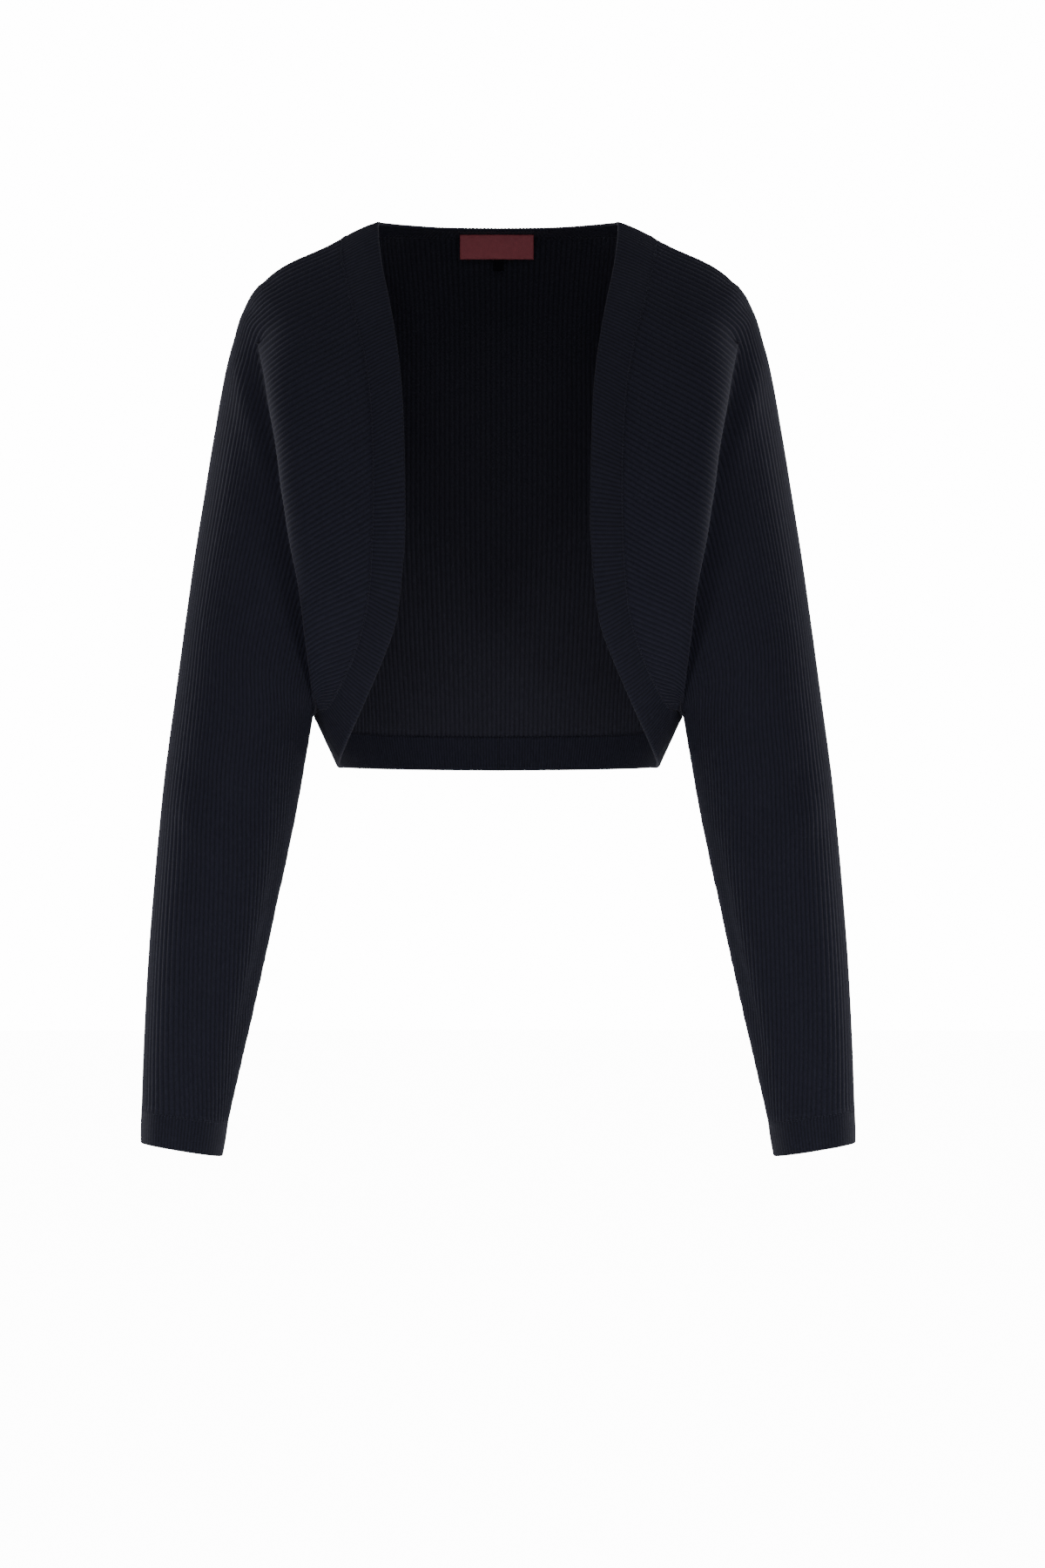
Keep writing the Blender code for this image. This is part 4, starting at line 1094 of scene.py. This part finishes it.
front_places, hem_places = loop_places(UNDERARM_WAY), loop_places(HEM_HALF)
front_linking = linking("neck_front_linking", seam_frames(*way_points(front_places)), FRONT_YARN)
hem_linking = linking("hem_linking", seam_frames(*hem_points(hem_places), flip=-1), FINE_YARN)
left_linking = cuff_linking("cuff_left_linking", 1)
right_linking = cuff_linking("cuff_right_linking", -1)
print("loops on each side of the front seam:", len(front_places), "and of the hem seam:", len(hem_places))

# %% [markdown]
# ## Label and size tab
#
# Inside the back neck hangs a woven satin label, and a small tab is caught under its lower edge. Both are
# left bare. A label is a thin strip whose ends are folded under and sewn down, so it stays almost flat and
# bends with the neck.

# %% The two woven tapes
LABEL_SIZE = (0.054, 0.0008, 0.0182)
LABEL_PLACE = (-0.0012, 0.0634, -0.0152)
LABEL_LEAN = math.radians(12)
TAB_SIZE = (0.008, 0.0006, 0.0120)
TAB_PLACE = (0.0, 0.0668, -0.0263)
TAB_LEAN = math.radians(8)
TAPE_POINTS = (73, 25)  # across and down
TAPE_RIM = 0.0006       # width of the rounded rim
TAPE_EDGE = 0.35        # thickness at the very edge, as a share of the tape's
LABEL_BEND = -0.0004    # how far along Y the ends of the label stand from its middle
BEND_LEVEL = 0.3        # share of the bend that goes to the middle instead of the ends


def tape(name, size, place, lean, bend):
    """A woven tape with rounded edges, bent slightly about its upright middle line."""
    u, v = np.meshgrid(*(np.linspace(-0.5, 0.5, count) for count in TAPE_POINTS))
    to_edge = np.minimum(0.5 - abs(u), (0.5 - abs(v)) * size[2] / size[0]) * size[0]
    half = size[1] / 2 * np.minimum(1.0, to_edge / TAPE_RIM + TAPE_EDGE)
    bent = bend * (4 * u * u - BEND_LEVEL)
    x, y, z = np.stack([(u * size[0], side * half + bent, v * size[2]) for side in (-1, 1)], axis=1)
    points = np.stack([
        x + place[0],
        y * math.cos(lean) - z * math.sin(lean) + place[1],
        y * math.sin(lean) + z * math.cos(lean) + place[2],
    ], axis=-1).reshape(-1, 3)
    number = np.arange(u.size).reshape(u.shape)
    front = np.stack([number[:-1, :-1], number[:-1, 1:], number[1:, 1:], number[1:, :-1]], axis=-1)
    behind = front[..., [0, 3, 2, 1]] + u.size
    loop = np.concatenate([number[0], number[1:, -1], number[-1, -2::-1], number[-2:0:-1, 0]])
    after = np.roll(loop, -1)
    rim = np.column_stack([after, loop, loop + u.size, after + u.size])
    faces = np.concatenate([np.stack([front, behind], axis=2).reshape(-1, 4), rim])
    return add_mesh(name, points, faces.tolist())


label = tape("label_tape_piece", LABEL_SIZE, LABEL_PLACE, LABEL_LEAN, LABEL_BEND)
tab = tape("size_tab_tape", TAB_SIZE, TAB_PLACE, TAB_LEAN, 0.0)
print("label", LABEL_SIZE[0] * 1000, "mm wide")

# %% [markdown]
# ## Put each piece in place of its solid
#
# Each shell takes the place of one plain solid of the measured model: the solid is hidden, and the shell
# rides on the root body. A chain of loops is sewn into its band, so the two count as one. The table also
# lists the size of each cloth piece laid flat, which nothing here reads.

# %% Tie each piece to the measured model
SHEETS = (
    (left_front, "front_sleeve_left", "rib_knit", (0.40, 0.64), 0.174),
    (right_front, "front_sleeve_right", "rib_knit", (0.40, 0.64), 0.174),
    (back_knit, "back", "rib_knit", (0.40, 0.36), 0.125),
    (neck_front_band, "neck_front_band", "band_knit", BAND_SIZES["neck_front_band_knit"], None),
    (hem_band, "hem_band", "band_knit", BAND_SIZES["hem_band_knit"], None),
    (left_cuff, "cuff_left", "band_knit", BAND_SIZES["cuff_left_knit"], None),
    (right_cuff, "cuff_right", "band_knit", BAND_SIZES["cuff_right_knit"], None),
    (label, "label", "label_tape", (0.054, 0.0182), None),
    (tab, "size_tab", "tab_tape", (0.010, 0.0120), None),
)
LINKINGS = {
    "neck_front_band": front_linking, "hem_band": hem_linking,
    "cuff_left": left_linking, "cuff_right": right_linking,
}
for piece, node, slot, flat, area in SHEETS:
    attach(piece, "root")
    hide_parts(node)
    chain = LINKINGS.get(node)
    if chain:
        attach(chain, "root")

# %% [markdown]
# ## Shader maths in plain Python
#
# A material is a small network of nodes. Placing Math nodes by hand is slow and hard to read, so one small
# class wraps a node's output: adding, subtracting or multiplying two of them adds the right Math node.
# Everything else comes from one method that makes a node of any type, sets it up, and connects its inputs.


# %% A finish and the values in it
class Value:
    """A number on its way through a finish.  The usual signs make Math nodes."""

    def __init__(self, finish, socket):
        self.finish = finish
        self.socket = socket

    def math(self, operation, *others):
        return self.finish.node("ShaderNodeMath", {"operation": operation}, [self, *others])

    def __add__(self, other):
        return self.math("ADD", other)

    def __mul__(self, other):
        return self.math("MULTIPLY", other)

    def __sub__(self, other):
        return self.math("SUBTRACT", other)

    def __rsub__(self, other):
        return (self * -1.0) + other


class Finish:
    """A material of one Principled shader, with the nodes that drive it."""

    def __init__(self, name, **uniform):
        self.material = bpy.data.materials.new(name)
        self.material.use_nodes = True
        self.tree = self.material.node_tree
        self.shader = self.tree.nodes["Principled BSDF"]
        for key, value in uniform.items():
            self.shader.inputs[key.replace("_", " ")].default_value = value

    def node(self, kind, settings=None, inputs=(), output=0):
        """Make a node, set it up, give its inputs values or links, and return one of its outputs."""
        made = self.tree.nodes.new(kind)
        for key, value in (settings or {}).items():
            setattr(made, key, value)
        pairs = inputs.items() if isinstance(inputs, dict) else enumerate(inputs)
        for key, value in pairs:
            if isinstance(value, Value):
                self.tree.links.new(value.socket, made.inputs[key])
            else:
                made.inputs[key].default_value = value
        return Value(self, made.outputs[output])

    def attribute(self, name):
        """A number that the mesh keeps at its points."""
        return self.node("ShaderNodeAttribute", {"attribute_name": name}, output="Fac")

    def noise(self, scale, detail=2.0):
        """Soft noise with a grain of 1 / scale metres."""
        place = self.node("ShaderNodeTexCoord", output="Object")
        return self.node("ShaderNodeTexNoise", {}, {"Vector": place, "Scale": scale, "Detail": detail}, "Fac")

    def blend(self, share, low, high):
        """A colour between two colours."""
        return self.node("ShaderNodeMix", {"data_type": "RGBA"}, {0: share, 6: low, 7: high}, output=2)

    def connect(self, **wires):
        """Feed the shader."""
        for key, value in wires.items():
            self.tree.links.new(value.socket, self.shader.inputs[key.replace("_", " ")])

    def bump(self, height, distance):
        """Small relief as a change of the surface's direction."""
        return self.node("ShaderNodeBump", {}, {"Height": height, "Distance": distance, "Strength": 1.0})


print("shader tools ready")

# %% [markdown]
# ## The yarn
#
# The yarn is a matt, very dark navy. Each rib is a column of small V-shaped stitches, and the trough
# between two ribs lies in shade and looks nearly black. The ribs themselves are real shape by now, and the
# material adds what is too fine to model: the stitches as a small relief, a little fuzz as sheen, and a yarn
# that isn't the same shade everywhere. It also paints shade into the colour: each trough is coloured darker
# than its crest, and the gaps between the stitches darker than their legs. The rib and stitch numbers kept at
# every point say where each stitch is, so the stitches and the painted shade follow the ribs round every
# bend.
# An image texture would need to be cut and unwrapped to do that. The inside lies in the garment's own shade,
# so it gets a slightly lighter pair of colours, painted light that keeps its ribs in sight.

# %% The knit finishes
# Yarn colours. Each trough colour is painted shade: darker than its crest, where the real trough lies in
# shade.
CREST = (0.0138, 0.0148, 0.0280, 1.0)
PAINTED_SHADE_TROUGH = (0.0070, 0.0076, 0.0138, 1.0)
BAND_PAINTED_SHADE_TROUGH = (0.0050, 0.0054, 0.0100, 1.0)
# The inside's pair is painted light: lighter than the outside's, for the garment's own shade inside; its
# trough is painted shade as well.
INNER_PAINTED_LIGHT_CREST = (0.0195, 0.0200, 0.0320, 1.0)
INNER_PAINTED_LIGHT_TROUGH = (0.0095, 0.0098, 0.0155, 1.0)
# The linking yarn's pair is painted light: lighter than the ribs' colours, for the light its proud loops
# catch, on top of the light the modelled loops catch themselves.
LINK_PAINTED_LIGHT_HIGH = (0.0230, 0.0245, 0.0400, 1.0)
LINK_PAINTED_LIGHT_LOW = (0.0160, 0.0172, 0.0300, 1.0)
FUZZ = (0.72, 0.70, 0.86, 1.0)
STITCH_SLANT = 0.45     # how far, in stitches, the two legs of a V run back beside its tip
FIBRE_SCALE = 1400.0    # grain of the single fibres
SHADE_SCALE = 38.0      # grain of the yarn's changes of shade
# Shares of the colour's lightness. The crest's share paints shade into the troughs; the stitch's share paints
# shade between the stitches, and on a linking gives each loop its own tone; fibre and shade are the yarn's
# own random tone. DARKER keeps the painted trough shade at its darkest.
PAINTED_TROUGH_SHADE_SHARE, STITCH_SHARE, FIBRE_SHARE, SHADE_SHARE = 0.75, 0.12, 0.22, 0.25    # of what makes yarn light
DARKER = 0.22           # taken off that sum, so that the troughs stay dark
STITCH_HEIGHT, FIBRE_HEIGHT = 0.8, 0.5          # shares of the small relief


def knit_finish(name, high, low, relief):
    """Dark navy knitting with its stitches along the ribs."""
    finish = Finish(
        name, Roughness=0.85, Specular_IOR_Level=0.18, Sheen_Weight=0.10, Sheen_Roughness=0.45,
        Sheen_Tint=FUZZ,
    )
    rib = finish.attribute("rib")
    course = finish.attribute("course")
    off_crest = (rib.math("FRACT") - 0.5).math("ABSOLUTE") * 2.0
    crest = 1.0 - off_crest * off_crest
    leg = (course - off_crest * STITCH_SLANT) * (2.0 * math.pi)
    stitch = (leg.math("COSINE") * 0.5 + 0.5) * crest
    fibre = finish.noise(FIBRE_SCALE)
    shade = finish.noise(SHADE_SCALE, detail=3.0)
    # The colour's lightness: painted shade in the troughs and between the stitches, with the yarn's own
    # random tone.
    light = crest * PAINTED_TROUGH_SHADE_SHARE + stitch * STITCH_SHARE + fibre * FIBRE_SHARE + shade * SHADE_SHARE - DARKER
    light = light.math("MAXIMUM", 0.0).math("MINIMUM", 1.0)
    outside = finish.blend(light, low, high)
    # The inside, where inner is 1, takes the lighter pair: painted light.
    inside = finish.blend(light, INNER_PAINTED_LIGHT_TROUGH, INNER_PAINTED_LIGHT_CREST)
    finish.connect(
        Base_Color=finish.blend(finish.attribute("inner"), outside, inside),
        Normal=finish.bump(stitch * STITCH_HEIGHT + fibre * FIBRE_HEIGHT, relief),
    )
    return finish.material


rib_knit = knit_finish("navy_rib_knit", CREST, PAINTED_SHADE_TROUGH, relief=0.00011)
band_knit = knit_finish("navy_band_knit", CREST, BAND_PAINTED_SHADE_TROUGH, relief=0.00009)
# The linking's lighter colours are painted light.
linking_yarn = knit_finish("navy_linking_yarn", LINK_PAINTED_LIGHT_HIGH, LINK_PAINTED_LIGHT_LOW, relief=0.00008)
print("knit finishes:", rib_knit.name, band_knit.name, linking_yarn.name)

# %% [markdown]
# ## Label and tab
#
# Woven tape is a fine satin: shiny threads across, with a slightly darker line where each next thread dips.
# That line is painted shade in the colour.


# %% The tape finishes
THREAD_PITCH = {0: 0.0006, 2: 0.0005}   # from thread to thread along X and Z
THREAD_RELIEF = 0.00008
TAPE_SHADE_SCALE = 300.0
# The second colour of each tape is painted shade, where its threads dip.
RED, DIP_SHADE_RED = (0.400, 0.080, 0.104, 1.0), (0.265, 0.048, 0.064, 1.0)
BLACK, DIP_SHADE_BLACK = (0.0050, 0.0045, 0.0085, 1.0), (0.0020, 0.0018, 0.0036, 1.0)


def tape_finish(name, thread, dip_shade, roughness, shine):
    """Woven tape: fine threads both ways."""
    finish = Finish(name, Roughness=roughness, Specular_IOR_Level=shine)
    place = finish.node("ShaderNodeTexCoord", output="Object")
    across, down = (
        (finish.node("ShaderNodeSeparateXYZ", {}, [place], axis) * (2.0 * math.pi / pitch)).math("SINE")
        for axis, pitch in THREAD_PITCH.items()
    )
    weave = across * down * 0.5 + 0.5
    # Darker where the threads dip, as painted shade, mixed with the tape's own random tone.
    finish.connect(
        Base_Color=finish.blend(weave * 0.5 + finish.noise(TAPE_SHADE_SCALE) * 0.5, dip_shade, thread),
        Normal=finish.bump(weave, THREAD_RELIEF),
    )
    return finish.material


label_tape = tape_finish("dark_red_label_tape", RED, DIP_SHADE_RED, roughness=0.5, shine=0.35)
tab_tape = tape_finish("black_tab_tape", BLACK, DIP_SHADE_BLACK, roughness=0.8, shine=0.10)
FINISHES = {"rib_knit": rib_knit, "band_knit": band_knit, "label_tape": label_tape, "tab_tape": tab_tape}
for piece, _, slot, *_ in SHEETS:
    piece.data.materials.append(FINISHES[slot])
for chain in LINKINGS.values():
    chain.data.materials.append(linking_yarn)
print("finishes on", len(SHEETS) + len(LINKINGS), "pieces")

# %% [markdown]
# ## A pale studio
#
# Dark knitwear is shown with most of its light from behind and from both sides: the light then grazes the
# ribs and draws a bright line along the sleeves, and the chest stays dark. A weaker lamp far in front opens
# the shadows, one above lights the shoulders, and two small ones low down lift the cuffs. Camera rays see a
# brighter backdrop than the cloth does, as in a studio where the background has lamps of its own.

# %% Floor, backdrop and lamps
FLOOR_HEIGHT = -1.0
FLOOR_RADIUS = 14.0
BACKDROP = 15.0         # light of the backdrop, as the camera sees it
ROOM = 0.16             # light of the room, as the cloth sees it
FLOOR_GLOW = 0.9        # share of the backdrop's light on the floor, as the camera sees it


def lamp(name, place, aim, size, power):
    """A soft rectangular lamp at a place, turned towards a point."""
    light = bpy.data.lights.new(name, "AREA")
    light.shape = "RECTANGLE"
    light.size, light.size_y = size
    light.energy = power
    thing = bpy.data.objects.new(name, light)
    bpy.context.scene.collection.objects.link(thing)
    thing.location = place
    thing.rotation_euler = (Vector(aim) - Vector(place)).to_track_quat("-Z", "Y").to_euler()
    thing.visible_camera = False


lamp("left lamp", (-2.6, 1.3, -0.7), (-0.2, 0, -0.50), (1.0, 3.0), 76)
lamp("right lamp", (2.6, 1.3, -0.7), (0.2, 0, -0.50), (1.0, 3.0), 76)
lamp("low left lamp", (-0.80, -0.75, -0.92), (-0.24, 0, -0.64), (0.35, 0.35), 3.8)
lamp("low right lamp", (0.80, -0.75, -0.92), (0.24, 0, -0.64), (0.35, 0.35), 3.8)
lamp("sweep lamp", (0.0, 4.0, -0.2), (0, 0, -0.35), (5.0, 3.0), 150)
lamp("front lamp", (0.0, -7.0, 0.2), (0, 0, -0.30), (2.5, 2.5), 54)
lamp("top lamp", (0.0, -0.7, 1.9), (0, 0, -0.05), (1.6, 1.0), 13)

bpy.ops.mesh.primitive_circle_add(
    vertices=96, radius=FLOOR_RADIUS, fill_type="NGON", location=(0, 0, FLOOR_HEIGHT))
floor = bpy.context.object
floor.name = "floor"
floor_paint = Finish("pale_floor_paint", Base_Color=(0.9, 0.9, 0.9, 1.0), Roughness=0.9)
seen = floor_paint.node("ShaderNodeLightPath", output="Is Camera Ray")
glow = floor_paint.node("ShaderNodeEmission", {}, {"Color": (1.0, 1.0, 1.0, 1.0), "Strength": BACKDROP})
paint = Value(floor_paint, floor_paint.shader.outputs[0])
mixed = floor_paint.node("ShaderNodeMixShader", {}, {0: seen * FLOOR_GLOW, 1: paint, 2: glow})
floor_paint.tree.links.new(mixed.socket, floor_paint.tree.nodes["Material Output"].inputs["Surface"])
floor.data.materials.append(floor_paint.material)

world = bpy.data.worlds.new("studio")
world.use_nodes = True
bpy.context.scene.world = world
sky = world.node_tree
room = sky.nodes["Background"]
room.inputs["Color"].default_value = (1, 1, 1, 1)
seen = sky.nodes.new("ShaderNodeLightPath")
strength = sky.nodes.new("ShaderNodeMix")
strength.inputs[2].default_value = ROOM
strength.inputs[3].default_value = BACKDROP
sky.links.new(seen.outputs["Is Camera Ray"], strength.inputs[0])
sky.links.new(strength.outputs[0], room.inputs["Strength"])
